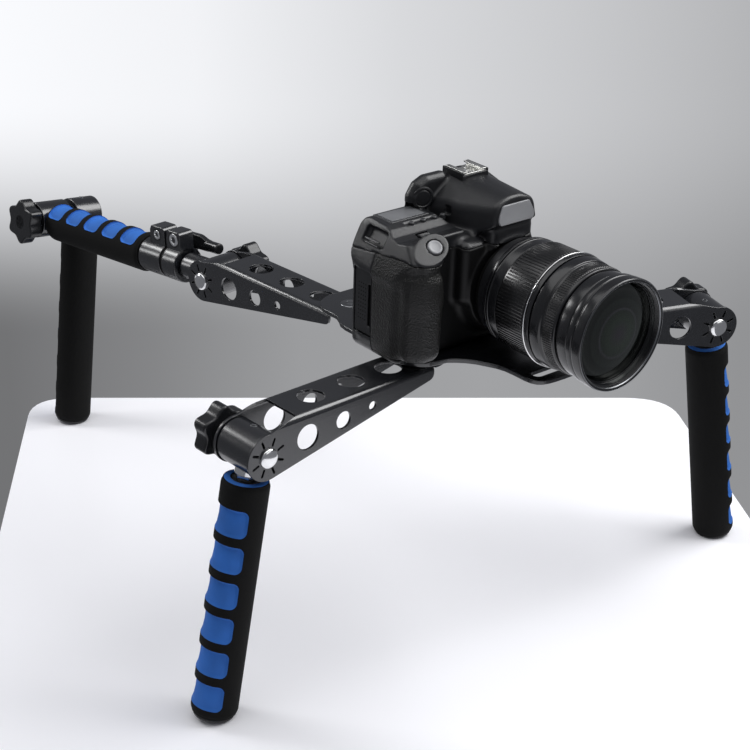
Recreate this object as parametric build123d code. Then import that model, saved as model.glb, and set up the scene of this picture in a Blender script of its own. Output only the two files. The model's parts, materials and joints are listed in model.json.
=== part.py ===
from build123d import *
import os
from math import cos, radians, sin

# Three-legged shoulder and hand-held rig carrying a stills camera with a zoom lens.
# Working frame while modelling, mm: X across, -Y out of the lens, +Z up,
# origin on the floor under the lens axis. The finished rig is then tipped to its stance.
os.makedirs("parts", exist_ok=True)

# stance
STANCE_TIP = 2.9
STANCE_LINE = -4.9

# carrying plate
PLATE_TOP = 217.0
PLATE_T = 3.3
PLATE_GAP = 0.4
LOBE_R = 21.0
SWING_X, SWING_Y = 53.9, -12.3
REAR_X, REAR_Y = 42.7, 75.3

# channel arms
WEB_T = 2.0
ARM_HALF = 17.7
PIVOT_DROP = 21.1
SWING_S = 145.0
FLANGE_END = 142.0
END_R = 16.0
BOLT_R = 4.0
RUN = 0.05
PIVOT_Z = PLATE_TOP - PLATE_T - PLATE_GAP - PIVOT_DROP
ARM_AZ = {"a": 2.9, "b": 162.3, "c": -85.0}
KNOB_SIDE = {"a": 1, "b": -1, "c": 1}
SWING_AT = {"a": (-53.8, -13.9), "b": (54.1, -10.7), "c": (-REAR_X, REAR_Y)}

# hanging handles, lengths measured down from the pivot
BARREL_R = 15.0
BARREL_HALF = 15.3
NUT_TOP = 14.0
FOAM_TOP = 20.5
FOAM_END = 189.0
FOOT_END = 191.0
FOAM_R = 16.0
TUBE_R = 9.5
TUBE_IN_R = 7.55
HANDLE_TILT = 9.5
WINDOW_FIRST = 47.5
WINDOW_STEP = 25.1
WINDOW_LEN = 20.5
WINDOW_DEPTH = 2.3
WINDOW_HALF_ANGLE = 58.0

# star knobs
KNOB_R = 19.0
KNOB_IN = 25.0
KNOB_OUT = 37.0
KNOB_HUB_R = 9.0

# rear rod, clamp, tube and tee
ROD_SLOPE = 4.915
ROD_R = 7.5
ROD_END = 200.0
NECK_R = 10.5
NECK_END = 36.0
COLLAR_0, COLLAR_1, COLLAR_R = 38.0, 84.0, 14.3
TEE_X = 228.7
TEE_ROLL = 7.0
TEE_OFFSET = 32.8
TEE_HALF = 15.0
TEE_LEAN = 3.13
REAR_FOAM_0, REAR_FOAM_1 = 84.4, 213.0
REAR_WINDOW_FIRST = 99.4

# camera, heights from its base
AXIS_Z = 44.7
BODY_SPLIT_Y = -3.0
DECK_Z = 78.0
HUMP_Z = 109.5


def bar(axis, r, a, b, at=(0, 0, 0)):
    """Cylinder along one axis from a to b, offset sideways by at."""
    turn = {"x": Rot(0, 90, 0), "y": Rot(90, 0, 0), "z": Rot(0, 0, 0)}[axis]
    mid = {"x": ((a + b) / 2, 0, 0), "y": (0, (a + b) / 2, 0), "z": (0, 0, (a + b) / 2)}[axis]
    return Pos(*at) * Pos(*mid) * turn * Cylinder(r, abs(b - a))


def block(x0, x1, y0, y1, z0, z1):
    return Pos((x0 + x1) / 2, (y0 + y1) / 2, (z0 + z1) / 2) * Box(x1 - x0, y1 - y0, z1 - z0)


def slab(points, z0, z1, r=0.0):
    """Plan outline with optional rounded corners, between two heights."""
    face = make_face(Polyline(*points, close=True))
    if r:
        face = fillet(face.vertices(), r)
    return Pos(0, 0, z0) * extrude(face, z1 - z0)


def side_plate(points, y0, y1):
    """Outline drawn in X and Z, extruded from y0 to y1."""
    face = Plane.XZ * make_face(Polyline(*points, close=True))
    return Pos(0, y1, 0) * extrude(face, y1 - y0)


def domed(r, h, rounding):
    """Screw head standing on z = 0."""
    head = Pos(0, 0, h / 2) * Cylinder(r, h)
    return fillet(head.edges().group_by(Axis.Z)[-1], rounding)


def mirror_x(points):
    return points + [(-x, y) for x, y in reversed(points)]


pieces = {}

# ---------------------------------------------------------------- carrying plate
plate_z0 = PLATE_TOP - PLATE_T
left_edge = [(-15, -97.5), (-20, -95.5), (-23, -92), (-24.4, -86), (-24.6, -74), (-26, -63)]
left_edge += [(-29.5, -55.5), (-34, -46), (-40.7, -39.7), (-47.7, -34.8)]
left_edge += [(-53.8, -34.0), (-70.7, -10), (-70.5, 48), (-66.6, 58), (-58, 68), (-50, 94)]
plate = slab(mirror_x(left_edge), plate_z0, PLATE_TOP)
for sx in (-1, 1):
    plate += bar("z", LOBE_R, plate_z0, PLATE_TOP, (sx * SWING_X, SWING_Y, 0))
    plate += bar("z", LOBE_R, plate_z0, PLATE_TOP, (sx * REAR_X, REAR_Y, 0))
# the loop around the front slot is welded on: two side bars and a cross bar
SLOT_HALF, SLOT_FRONT, SLOT_BACK = 18.0, -90.0, -82.0
loop_cuts = [
    block(-40, -SLOT_HALF, -100, SLOT_BACK, plate_z0 - 1, PLATE_TOP + 1),
    block(SLOT_HALF, 40, -100, SLOT_BACK, plate_z0 - 1, PLATE_TOP + 1),
    block(-SLOT_HALF, SLOT_HALF, -100, SLOT_FRONT, plate_z0 - 1, PLATE_TOP + 1),
]
pieces["front_loop"] = Compound(children=[Compound(children=(plate & cut).solids()) for cut in loop_cuts])
plate -= block(-40, 40, -100, SLOT_BACK, plate_z0 - 1, PLATE_TOP + 1)

swing_bolt = bar("z", BOLT_R, plate_z0 - PLATE_GAP - WEB_T - 5.5, PLATE_TOP)
swing_bolt += bar("z", 7.0, plate_z0 - PLATE_GAP - WEB_T - 5.4, plate_z0 - PLATE_GAP - WEB_T - 0.4)
swing_bolt += Pos(0, 0, PLATE_TOP - 1.25) * Cone(BOLT_R, 7.0, 2.5)
bolts = [Pos(x, y, 0) * swing_bolt for x, y in SWING_AT.values()]
camera_screw = bar("z", 9.0, plate_z0 - 6, plate_z0)
camera_screw += bar("z", 3.1, plate_z0, PLATE_TOP + 5)
for bolt in bolts:
    plate -= bolt
plate -= bar("z", BOLT_R, plate_z0 - 1, PLATE_TOP + 1, (REAR_X, REAR_Y, 0))
plate -= camera_screw
pieces["base_plate"] = plate
pieces["swing_bolts"] = Compound(children=bolts)
pieces["camera_screw"] = camera_screw


# ---------------------------------------------------------------- channel arm
def channel_arm(side):
    """Bent sheet arm: pivot at the origin, X toward the plate, Z up."""
    top = PIVOT_DROP
    shell = block(-END_R, FLANGE_END, -ARM_HALF, ARM_HALF, -END_R, top)
    shell = fillet(shell.edges().filter_by(Axis.X).group_by(Axis.Z)[-1], 3.0)
    inner = ARM_HALF - WEB_T
    hollow = block(-END_R - 1, FLANGE_END + 1, -inner, inner, -END_R - 1, top - WEB_T)
    hollow = fillet(hollow.edges().filter_by(Axis.X).group_by(Axis.Z)[-1], 1.0)
    outline = [(0, 0), (3.14, -15.69), (139, 11.3), (142, 14.5), (142, top), (24.3, top), (17, 19.5), (1.4, 15.9)]
    profile = side_plate(outline, -ARM_HALF - 1, ARM_HALF + 1)
    profile += bar("y", END_R, -ARM_HALF - 1, ARM_HALF + 1)
    arm = (shell - hollow) & profile
    arm -= block(-END_R - 1, 24.3, -inner, inner, -END_R - 1, top + 1)
    arm += block(132, SWING_S, -ARM_HALF, ARM_HALF, top - WEB_T, top)
    arm += bar("z", ARM_HALF, top - WEB_T, top, (SWING_S, 0, 0))
    arm -= bar("z", BOLT_R + RUN, 0, top + 1, (SWING_S, 0, 0))
    for s in (49, 83, 116):
        arm -= bar("z", 9.25, 0, top + 1, (s, 0, 0))
    for s, z, r in ((32.2, 4.0, 8.75), (62, 6.4, 6.0), (87, 8.8, 3.0)):
        arm -= bar("y", r, -ARM_HALF - 1, ARM_HALF + 1, (s, 0, z))
    near = -side
    for i in range(8):
        cut = block(8, 13, near * 16.7 - 1.5, near * 16.7 + 1.5, -0.65, 0.65)
        arm -= Rot(0, 45 * i + 22, 0) * cut
    arm -= bar("y", BOLT_R, -ARM_HALF - 1, ARM_HALF + 1)
    return arm


def cross_bolt(head_at, head_dir, tail_at):
    """Bolt along Y with a domed head."""
    bolt = bar("y", BOLT_R, min(head_at, tail_at), max(head_at, tail_at))
    return bolt + Pos(0, head_at, 0) * Rot(-90 * head_dir, 0, 0) * domed(6.75, 3.4, 2.4)


def star_knob(side, inner, outer, hub_from):
    """Six-lobed knob about Y with a smooth hub, bored to turn on its bolt."""
    disc = Circle(14.5)
    for i in range(6):
        disc += Rot(0, 0, 60 * i + 30) * Pos(13.6, 0) * Circle(5.4)
    lobes = extrude(disc, outer - inner)
    knob = Rot(-90 * side, 0, 0) * Pos(0, 0, inner) * lobes
    knob += bar("y", KNOB_HUB_R, min(side * hub_from, side * inner), max(side * hub_from, side * inner))
    return knob - bar("y", BOLT_R + RUN, min(side * 10, side * (outer - 4)), max(side * 10, side * (outer - 4)))


# ---------------------------------------------------------------- handles
def foam_sleeve(a, b, centres, facing):
    """Laminated sleeve about Z between a and b, grooved on the side it faces."""
    sleeve = bar("z", FOAM_R, a, b)
    sleeve = fillet(sleeve.edges().filter_by(GeomType.CIRCLE), 3.0)
    reach = FOAM_R * cos(radians(WINDOW_HALF_ANGLE))
    for c in centres:
        ring = bar("z", FOAM_R + 2, c - WINDOW_LEN / 2, c + WINDOW_LEN / 2)
        ring -= bar("z", FOAM_R - WINDOW_DEPTH, c - WINDOW_LEN, c + WINDOW_LEN)
        ring &= block(reach, FOAM_R + 3, -FOAM_R, FOAM_R, c - WINDOW_LEN, c + WINDOW_LEN)
        sleeve -= Rot(0, 0, facing) * ring
    return sleeve - bar("z", TUBE_R, a - 1, b + 1)


def make_handle(name, frame, half, facing):
    """Barrel, screws, tube and foam hanging along -Z below the frame's origin."""
    barrel = bar("y", BARREL_R, -half, half)
    barrel += bar("z", 8.0, -NUT_TOP - 3, -10)
    barrel -= bar("y", BOLT_R + RUN, -half - 1, half + 1)
    screws = bar("z", 5.0, -FOAM_TOP - 8, -NUT_TOP - 3)
    screws += extrude(Pos(0, 0, -FOAM_TOP + 0.2) * RegularPolygon(7.6, 6), FOAM_TOP - 0.2 - NUT_TOP - 3)
    set_screw = bar("z", 2.2, BARREL_R - 5, BARREL_R - 0.6)
    barrel -= bar("z", 2.2, BARREL_R - 5, BARREL_R + 1)
    tube = bar("z", TUBE_R, -FOOT_END, -FOAM_TOP)
    tube -= bar("z", TUBE_IN_R, -FOOT_END + 4, -FOAM_TOP - 10)
    tube -= bar("z", 5.0, -FOAM_TOP - 8, -FOAM_TOP + 1)
    centres = [-(WINDOW_FIRST + WINDOW_STEP * i) for i in range(6)]
    sleeve = foam_sleeve(-FOAM_END, -FOAM_TOP, centres, facing)
    pieces[f"barrel_{name}"] = frame * barrel
    pieces[f"handle_screws_{name}"] = frame * Compound(children=[screws, set_screw])
    pieces[f"grip_tube_{name}"] = frame * tube
    pieces[f"foam_grip_{name}"] = frame * sleeve


arm_frames = {}
for name, az in ARM_AZ.items():
    sx, sy = SWING_AT[name]
    px = sx - SWING_S * cos(radians(az))
    py = sy - SWING_S * sin(radians(az))
    frame = Pos(px, py, PIVOT_Z) * Rot(0, 0, az)
    arm_frames[name] = frame
    k = KNOB_SIDE[name]
    pieces[f"arm_{name}"] = frame * channel_arm(k)
    pieces[f"pivot_bolt_{name}"] = frame * cross_bolt(-k * ARM_HALF, -k, k * 32.5)
    pieces[f"knob_{name}"] = frame * star_knob(k, KNOB_IN, KNOB_OUT, ARM_HALF + 0.4)

handle_frames = {}
for name in ("a", "b"):
    handle_frames[name] = arm_frames[name] * Rot(0, HANDLE_TILT, 0)
    make_handle(name, handle_frames[name], BARREL_HALF, 180)

# ---------------------------------------------------------------- rear rod and clamp
# X runs out along the rod, Y toward the left of the rig, Z up
rod_frame = arm_frames["c"] * Rot(0, 0, 180) * Rot(0, ROD_SLOPE, 0)
barrel_c = bar("y", BARREL_R, -BARREL_HALF, BARREL_HALF)
barrel_c += bar("x", NECK_R, 0, NECK_END)
barrel_c -= bar("y", BOLT_R + RUN, -BARREL_HALF - 1, BARREL_HALF + 1)
barrel_c -= bar("x", ROD_R, 8, NECK_END + 1)
pieces["barrel_c"] = rod_frame * barrel_c
pieces["rear_rod"] = rod_frame * bar("x", ROD_R, 8, ROD_END)

EAR_Y = 7.0
EAR_TOP = 27.5
SCREW_Z = 20.7
LEVER_Y = -17.3
LEVER_AT = (61.0, 8.0)
collar = bar("x", COLLAR_R, COLLAR_0, COLLAR_1)
collar += block(COLLAR_0, 54.5, -EAR_Y, EAR_Y, 8, EAR_TOP)
collar += block(54.5, 75, -EAR_Y, EAR_Y, 8, EAR_TOP)
collar += bar("y", 5.5, -14.4, -6, (LEVER_AT[0], 0, LEVER_AT[1]))
collar -= block(54.5, 57.5, -20, 20, 3, EAR_TOP + 1)
collar -= bar("x", ROD_R + RUN, COLLAR_0 - 1, COLLAR_1 + 1)
clamp_screws = []
for x, r in ((45.5, 5.0), (66.5, 3.6)):
    screw = bar("y", 2.5, -EAR_Y, EAR_Y, (x, 0, SCREW_Z))
    screw += bar("y", r, EAR_Y - 1.5, EAR_Y + 0.8, (x, 0, SCREW_Z))
    clamp_screws.append(screw)
pin = bar("y", 2.5, -20.6, -10, (LEVER_AT[0], 0, LEVER_AT[1]))
clamp_screws.append(pin)
for screw in clamp_screws:
    collar -= screw
lever_edge = [(67, 15), (63, 19.4), (41, 20), (34, 17.4), (29, 17), (29, 8.3), (43, 8)]
lever_edge += [(49, 7.4), (49.3, -1), (39.7, -0.6), (39.7, -4.6), (55, -7), (66, 0)]
lever = side_plate(lever_edge, LEVER_Y - 2.5, LEVER_Y + 2.5)
lever += bar("x", 4.4, 19, 35, (0, LEVER_Y, 12.7))
lever -= bar("y", 2.5 + RUN, -24, -10, (LEVER_AT[0], 0, LEVER_AT[1]))
pieces["clamp_collar"] = rod_frame * collar
pieces["clamp_screws"] = rod_frame * Compound(children=clamp_screws)
pieces["clamp_lever"] = rod_frame * lever

# ---------------------------------------------------------------- rear tube, tee and third handle
tee_frame = rod_frame * Rot(TEE_ROLL, 0, 0)
tube_end = TEE_X - TEE_HALF + 4
rear_tube = bar("x", TUBE_R, REAR_FOAM_0, tube_end)
rear_tube -= bar("x", ROD_R + RUN, REAR_FOAM_0 - 1, tube_end - 3)
boss = bar("y", BARREL_R, -TEE_HALF, TEE_HALF, (TEE_X, 0, 0))
boss -= bar("x", TUBE_R, REAR_FOAM_0, tube_end)
boss += bar("y", 9.0, -TEE_HALF - 5.1, -TEE_HALF, (TEE_X, 0, 0))
boss -= bar("y", BOLT_R, -TEE_HALF - 6, TEE_HALF + 1, (TEE_X, 0, 0))
D_HALF = 12.3
tee_bolt = Pos(TEE_X, 0, 0) * cross_bolt(-TEE_OFFSET - D_HALF - 0.4, -1, TEE_HALF + 9.8)
tee_bolt += bar("y", 6.75, -TEE_OFFSET - D_HALF - 1.4, -TEE_OFFSET - D_HALF - 0.4, (TEE_X, 0, 0))
rear_centres = [REAR_WINDOW_FIRST + WINDOW_STEP * i for i in range(5)]
rear_foam = foam_sleeve(REAR_FOAM_0, REAR_FOAM_1, rear_centres, 180)
pieces["rear_tube"] = tee_frame * rear_tube
pieces["tee_boss"] = tee_frame * boss
pieces["tee_bolt"] = tee_frame * tee_bolt
pieces["foam_grip_h"] = tee_frame * Rot(0, 90, 0) * rear_foam
pieces["knob_d"] = tee_frame * Pos(TEE_X, 0, 0) * star_knob(1, 17.4, 29.4, TEE_HALF + 0.4)
handle_frames["d"] = tee_frame * Pos(TEE_X, -TEE_OFFSET, 0) * Rot(0, -TEE_LEAN, 0)
make_handle("d", handle_frames["d"], D_HALF, 0)

# ---------------------------------------------------------------- stills camera
camera_frame = Pos(0, 0, PLATE_TOP)
cam = {}
plan = [(-86, -22), (-80, -28), (22, -28), (34, -18), (45, -9), (45, 17), (40, 22), (-81, 22), (-86, 17)]
shell_low = slab(plan, 0, DECK_Z, 2.0)
front = shell_low & block(-100, 100, -60, BODY_SPLIT_Y, -1, DECK_Z + 1)
back = shell_low & block(-100, 100, BODY_SPLIT_Y, 60, -1, DECK_Z + 1)
front += bar("y", 36.0, -41, -27, (0, 0, AXIS_Z))
front += block(-19, 19, -41, -27, AXIS_Z, 85)

hump_rear = [(-40, 84), (-39, 99), (-30, 106.5), (-12, HUMP_Z), (12, HUMP_Z), (24, 103), (34, 96), (38, 84)]
hump_mid = [(-30, 84), (-28, 98), (-20, 106), (-11, HUMP_Z)]
hump_nose = [(-17.5, 84), (-18, 95), (-14.5, 102.5), (-8, 107.5)]
deck = slab(plan, DECK_Z, 84, 2.0) & block(-100, 100, -27.9, 60, DECK_Z, 85)
deck -= block(-100, -30, -30, 30, 80, 90)
grip_deck = [(-27, DECK_Z), (-27, 81), (-20, 83), (-8, 87), (-2, 90.5), (22, 90.5), (22, DECK_Z)]
deck_wedge = extrude(Plane.YZ * make_face(Polyline(*grip_deck, close=True)), 55)
end_slope = side_plate([(-86, DECK_Z), (-86, 82), (-80, 91), (-30, 91), (-30, DECK_Z)], -30, 30)
deck += (Pos(-86, 0, 0) * deck_wedge) & slab(plan, DECK_Z, 100, 2.0) & end_slope
sections = [
    Plane((0, y, 0), x_dir=(1, 0, 0), z_dir=(0, -1, 0)) * make_face(Polyline(*mirror_x(edge), close=True))
    for y, edge in ((12, hump_mid), (-41, hump_nose))
]
deck += loft(sections, ruled=True)
deck += side_plate(hump_rear, 12, 21)
grip_plan = [(-86, -20), (-86, -38), (-80, -45), (-66, -45), (-59, -38), (-57, -28), (-57, -20)]
deck += slab(grip_plan, 76, 84, 2.0)
deck -= block(-100, 100, -50, 50, 0, DECK_Z) - slab(grip_plan, 76, DECK_Z, 2.0)
# sloping pad at the head of the grip, with the shutter button square to it
SHUTTER_AT = (-64.2, -35.0, 83.3)
shutter_frame = Pos(*SHUTTER_AT) * Rot(0, -12, 0) * Rot(38, 0, 0)
deck -= shutter_frame * block(-45, 30, -40, 12, 0, 30)
front -= slab(grip_plan, 76, DECK_Z + 1, 2.0)
back -= slab(grip_plan, 76, DECK_Z + 1, 2.0)
front -= deck

grip = slab(grip_plan, 4, 76, 2.0) - front - back
grip -= shutter_frame * block(-45, 30, -40, 12, 0, 30)
thumb = side_plate([(-84, 50), (-84, 68), (-70, 72), (-62, 66), (-64, 50)], 22, 26.5)
back += thumb

shoe_y = 8.8
shoe = block(-10, 10, shoe_y - 9.5, shoe_y + 9.5, HUMP_Z - 2, HUMP_Z + 0.6)
for sx in (-1, 1):
    shoe += block(min(sx * 9, sx * 10), max(sx * 9, sx * 10), shoe_y - 9.5, shoe_y + 9.5, HUMP_Z, HUMP_Z + 3.8)
    shoe += block(min(sx * 6.4, sx * 10), max(sx * 6.4, sx * 10), shoe_y - 9.5, shoe_y + 9.5, HUMP_Z + 2.8, HUMP_Z + 3.8)
deck -= shoe
lcd = block(-72, -38.5, -1, 19.5, 88.5, 91.2)
deck -= lcd

BUTTON_X = (-58.5, -48.5, -39.0, -31.5)
BUTTON_R = 2.1
for i, x in enumerate(BUTTON_X):
    deck += bar("z", 3.2, 84, 89.6, (x, -5.0, 0))
    deck -= bar("z", BUTTON_R + 0.35, 85.4, 92, (x, -5.0, 0))
    cam[f"top_button_{i + 1}"] = bar("z", BUTTON_R, 86.6, 90.4, (x, -5.0, 0))
deck -= shutter_frame * bar("z", 5.6, -3.6, 1)
cam["shutter_button"] = shutter_frame * bar("z", 5.2, -1.9, 1.6)
DIAL_Y, DIAL_Z, DIAL_R = -18.0, 79.0, 7.0
for shell in ("front", "deck"):
    pocket = block(-62.5, -52.5, DIAL_Y - 7.5, DIAL_Y + 7.5, DIAL_Z - 7.5, 95)
    pocket += bar("x", 1.5 + RUN, -64.2, -50.8, (0, DIAL_Y, DIAL_Z))
    if shell == "front":
        front -= pocket
    else:
        deck -= pocket
dial = bar("x", DIAL_R, -62.0, -53.0, (0, DIAL_Y, DIAL_Z))
cam["main_dial"] = dial + bar("x", 1.5, -64.0, -51.0, (0, DIAL_Y, DIAL_Z))
MODE_AT = (37.0, 5.0)
deck -= bar("z", 2.0 + RUN, 79, 90, (*MODE_AT, 0))
deck -= bar("z", 8.4, 84, 92, (*MODE_AT, 0))
cam["mode_dial"] = bar("z", 8.0, 84.4, 89.5, (*MODE_AT, 0)) + bar("z", 2.0, 79.4, 85, (*MODE_AT, 0))

DOOR_Y0, DOOR_Y1, DOOR_Z0, DOOR_Z1 = -1.0, 16.5, 14.0, 60.0
bay = block(-87, -83.2, DOOR_Y0 - 0.4, DOOR_Y1 + 0.4, DOOR_Z0 - 0.4, DOOR_Z1 + 0.4)
bay += block(-84, -72, 2, 13, 20, 54)
front -= bay
back -= bay
door = block(-86, -83.6, DOOR_Y0, DOOR_Y1, DOOR_Z0, DOOR_Z1)
cam["card_door"] = door - block(-87, -84.8, 1, 2.4, 21, 51)

WHEEL_AT = (-58.0, 36.0)
back -= bar("y", 3.0 + RUN, 16, 23, (WHEEL_AT[0], 0, WHEEL_AT[1]))
cam["rear_wheel"] = bar("y", 14.0, 22.4, 24.8, (WHEEL_AT[0], 0, WHEEL_AT[1]))
cam["rear_wheel"] += bar("y", 3.0, 16.5, 23, (WHEEL_AT[0], 0, WHEEL_AT[1]))
screen = block(-36, 24, 20.5, 23.2, 18, 64)
back -= screen
cup = block(-16, 16, 21, 27, 84, 104) - block(-10, 10, 22.5, 28, 88, 100)
for name, shape in (("front", front), ("back", back)):
    cam[f"camera_{name}"] = shape
cam["camera_front"] -= Pos(0, 0, -PLATE_TOP) * camera_screw
cam["camera_back"] -= Pos(0, 0, -PLATE_TOP) * camera_screw
cam["camera_top"] = deck
cam["hand_grip"] = grip
cam["hot_shoe"] = shoe
cam["top_lcd"] = lcd
cam["rear_screen"] = screen
cam["eyecup"] = cup

# zoom lens about an axis along Y
ZOOM_0, ZOOM_1, ZOOM_R = -66.3, -91.6, 38.2
FOCUS_0, FOCUS_1, FOCUS_R = -99.0, -119.0, 37.6
RIM_0, RIM_1, RIM_R = -129.6, -143.2, 38.0
barrel = bar("y", 33.0, -98, -41) + bar("y", 37.2, -65.9, -53) + bar("y", 39.4, -98, -92)
barrel -= bar("y", 29.0 + RUN, -99, -52)
zoom = bar("y", ZOOM_R, ZOOM_1, ZOOM_0) - bar("y", 33.0 + RUN, ZOOM_1 - 1, ZOOM_0 + 1)
nose = bar("y", 29.0, -98.4, -60) + bar("y", 34.0, RIM_0, -98.4) - bar("y", 26.0, -130, -59)
focus = bar("y", FOCUS_R, FOCUS_1, FOCUS_0) - bar("y", 34.0 + RUN, FOCUS_1 - 1, FOCUS_0 + 1)
rim = bar("y", RIM_R, RIM_1, RIM_0) - bar("y", 31.0, RIM_1 - 1, RIM_0 + 1)
rim -= bar("y", 33.5, RIM_1 - 1, RIM_1 + 5)
glass = bar("y", 31.0, -133.5, RIM_0)
lens = {"lens_barrel": barrel, "zoom_ring": zoom, "front_barrel": nose}
lens.update({"focus_ring": focus, "filter_ring": rim, "lens_glass": glass})
for name, shape in lens.items():
    cam[name] = Pos(0, 0, AXIS_Z) * shape

for name, shape in cam.items():
    pieces[name] = camera_frame * shape

# ---------------------------------------------------------------- stance and export
stance = Rot(0, 0, STANCE_LINE) * Rot(STANCE_TIP, 0, 0) * Rot(0, 0, -STANCE_LINE)
tipped = {name: stance * shape for name, shape in pieces.items()}
hull = Compound(children=[Compound(children=shape.solids()) for shape in tipped.values()]).bounding_box()
place = Pos(-hull.center().X, -hull.center().Y, -hull.min.Z) * stance
for name, shape in pieces.items():
    export_step(Compound(children=(place * shape).solids()), f"parts/{name}.step")
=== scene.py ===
import bpy
import bmesh
import json
import math
import numpy as np
from mathutils import Matrix, Vector


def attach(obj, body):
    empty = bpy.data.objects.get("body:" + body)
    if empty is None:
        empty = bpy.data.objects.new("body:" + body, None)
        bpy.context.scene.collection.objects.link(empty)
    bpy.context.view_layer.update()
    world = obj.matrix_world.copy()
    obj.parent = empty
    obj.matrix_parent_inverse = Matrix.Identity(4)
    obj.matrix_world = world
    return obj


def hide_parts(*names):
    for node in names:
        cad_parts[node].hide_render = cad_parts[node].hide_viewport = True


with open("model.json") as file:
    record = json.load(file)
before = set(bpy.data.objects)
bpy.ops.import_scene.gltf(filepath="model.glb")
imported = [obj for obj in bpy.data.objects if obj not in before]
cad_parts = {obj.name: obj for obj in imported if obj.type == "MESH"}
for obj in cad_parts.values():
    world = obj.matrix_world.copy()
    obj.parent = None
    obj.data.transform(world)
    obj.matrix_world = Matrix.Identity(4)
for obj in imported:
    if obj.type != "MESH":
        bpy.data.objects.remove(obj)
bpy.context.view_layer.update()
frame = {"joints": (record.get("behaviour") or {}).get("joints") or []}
joint_at = {j["name"]: j.get("pos_m") for j in frame["joints"]}

# ------------------------------------------------------------------ frames (rig millimetres to row metres)
# Rig frame: lens along -Y, grip side -X, origin on the floor under the lens axis.
TIP, LINE = math.radians(2.9), math.radians(-4.9)  # lean, and the floor line it turns about
PIVOT_Z = 192.2
SWING_S = 145.0
ARM_AZ = {"a": 2.9, "b": 162.3, "c": -85.0}
SWING_AT = {"a": (-53.8, -13.9), "b": (54.1, -10.7), "c": (-42.7, 75.3)}
SIDE = {"a": 1, "b": -1, "c": 1}
NAMES = {"a": "left", "b": "right", "c": "rear"}


def rot(axis, deg):
    return Matrix.Rotation(math.radians(deg), 4, axis)


def move(x, y, z):
    return Matrix.Translation((x, y, z))


stance = Matrix.Rotation(LINE, 4, "Z") @ Matrix.Rotation(TIP, 4, "X") @ Matrix.Rotation(-LINE, 4, "Z")
ARM = {}
for k, az in ARM_AZ.items():
    sx, sy = SWING_AT[k]
    px = sx - SWING_S * math.cos(math.radians(az))
    py = sy - SWING_S * math.sin(math.radians(az))
    ARM[k] = move(px, py, PIVOT_Z) @ rot("Z", az)
pivot_row = Vector(joint_at["left_handle_tilt"]) * 1000.0
shift = pivot_row - stance @ ARM["a"].translation
PLACE = Matrix.Scale(0.001, 4) @ Matrix.Translation(shift) @ stance
ROD = ARM["c"] @ rot("Z", 180) @ rot("Y", 4.915)
TEE = ROD @ rot("X", 7.0)
TEE_X = 228.7
PLATE_TOP = 217.0
CAM = move(0, 0, PLATE_TOP)
AXIS_Z = 44.7
LENS = CAM @ move(0, 0, AXIS_Z) @ rot("X", 90)
HANDLE = {"a": ARM["a"] @ rot("Y", 9.5), "b": ARM["b"] @ rot("Y", 9.5)}
HANDLE["d"] = TEE @ move(TEE_X, -32.8, 0) @ rot("Y", -3.13)


# ------------------------------------------------------------------ materials
BUMP_DEPTH = 0.0004
MOTTLE_SCALE = 45.0


def put(node, **values):
    """Sets a shader node's inputs by name, with _ for a space."""
    for name, value in values.items():
        node.inputs[name.replace("_", " ")].default_value = value
    return node


def fill_ramp(ramp, stops):
    """Fills a colour ramp from (place, colour) pairs."""
    els = ramp.color_ramp.elements
    while len(els) < len(stops):
        els.new(0.5)
    for e, (p, c) in zip(els, stops):
        e.position = p
        e.color = (*c, 1)


def node_mat(name, color, metallic=0.0, rough=0.5, bump=0.0, scale=600.0, vary=0.0, spec=0.5,
             kind="noise", mottle=0.3):
    """Principled finish with fine bump and uneven roughness and colour.

    mottle is the share that the colour varies by.
    """
    m = bpy.data.materials.new(name)
    m.use_nodes = True
    nt = m.node_tree
    b = put(nt.nodes["Principled BSDF"], Base_Color=(*color, 1.0), Metallic=metallic, Roughness=rough,
            Specular_IOR_Level=spec)
    co = nt.nodes.new("ShaderNodeTexCoord")
    if bump:
        if kind == "noise":
            t = put(nt.nodes.new("ShaderNodeTexNoise"), Scale=scale, Detail=4.0)
            out = t.outputs["Fac"]
        else:
            t = put(nt.nodes.new("ShaderNodeTexVoronoi"), Scale=scale)
            out = t.outputs["Distance"]
        nt.links.new(co.outputs["Object"], t.inputs["Vector"])
        bp = put(nt.nodes.new("ShaderNodeBump"), Strength=bump, Distance=BUMP_DEPTH)
        nt.links.new(out, bp.inputs["Height"])
        nt.links.new(bp.outputs["Normal"], b.inputs["Normal"])
    if vary:
        t2 = put(nt.nodes.new("ShaderNodeTexNoise"), Scale=MOTTLE_SCALE, Detail=3.0)
        nt.links.new(co.outputs["Object"], t2.inputs["Vector"])
        r = put(nt.nodes.new("ShaderNodeMapRange"), To_Min=rough - vary, To_Max=rough + vary)
        nt.links.new(t2.outputs["Fac"], r.inputs["Value"])
        nt.links.new(r.outputs["Result"], b.inputs["Roughness"])
        if mottle:
            shade = nt.nodes.new("ShaderNodeMix")
            shade.data_type = "RGBA"
            shade.inputs[6].default_value = (*[c * (1 - mottle) for c in color], 1.0)
            shade.inputs[7].default_value = (*[min(1.0, c * (1 + mottle)) for c in color], 1.0)
            nt.links.new(t2.outputs["Fac"], shade.inputs[0])
            nt.links.new(shade.outputs[2], b.inputs["Base Color"])
    return m


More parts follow.
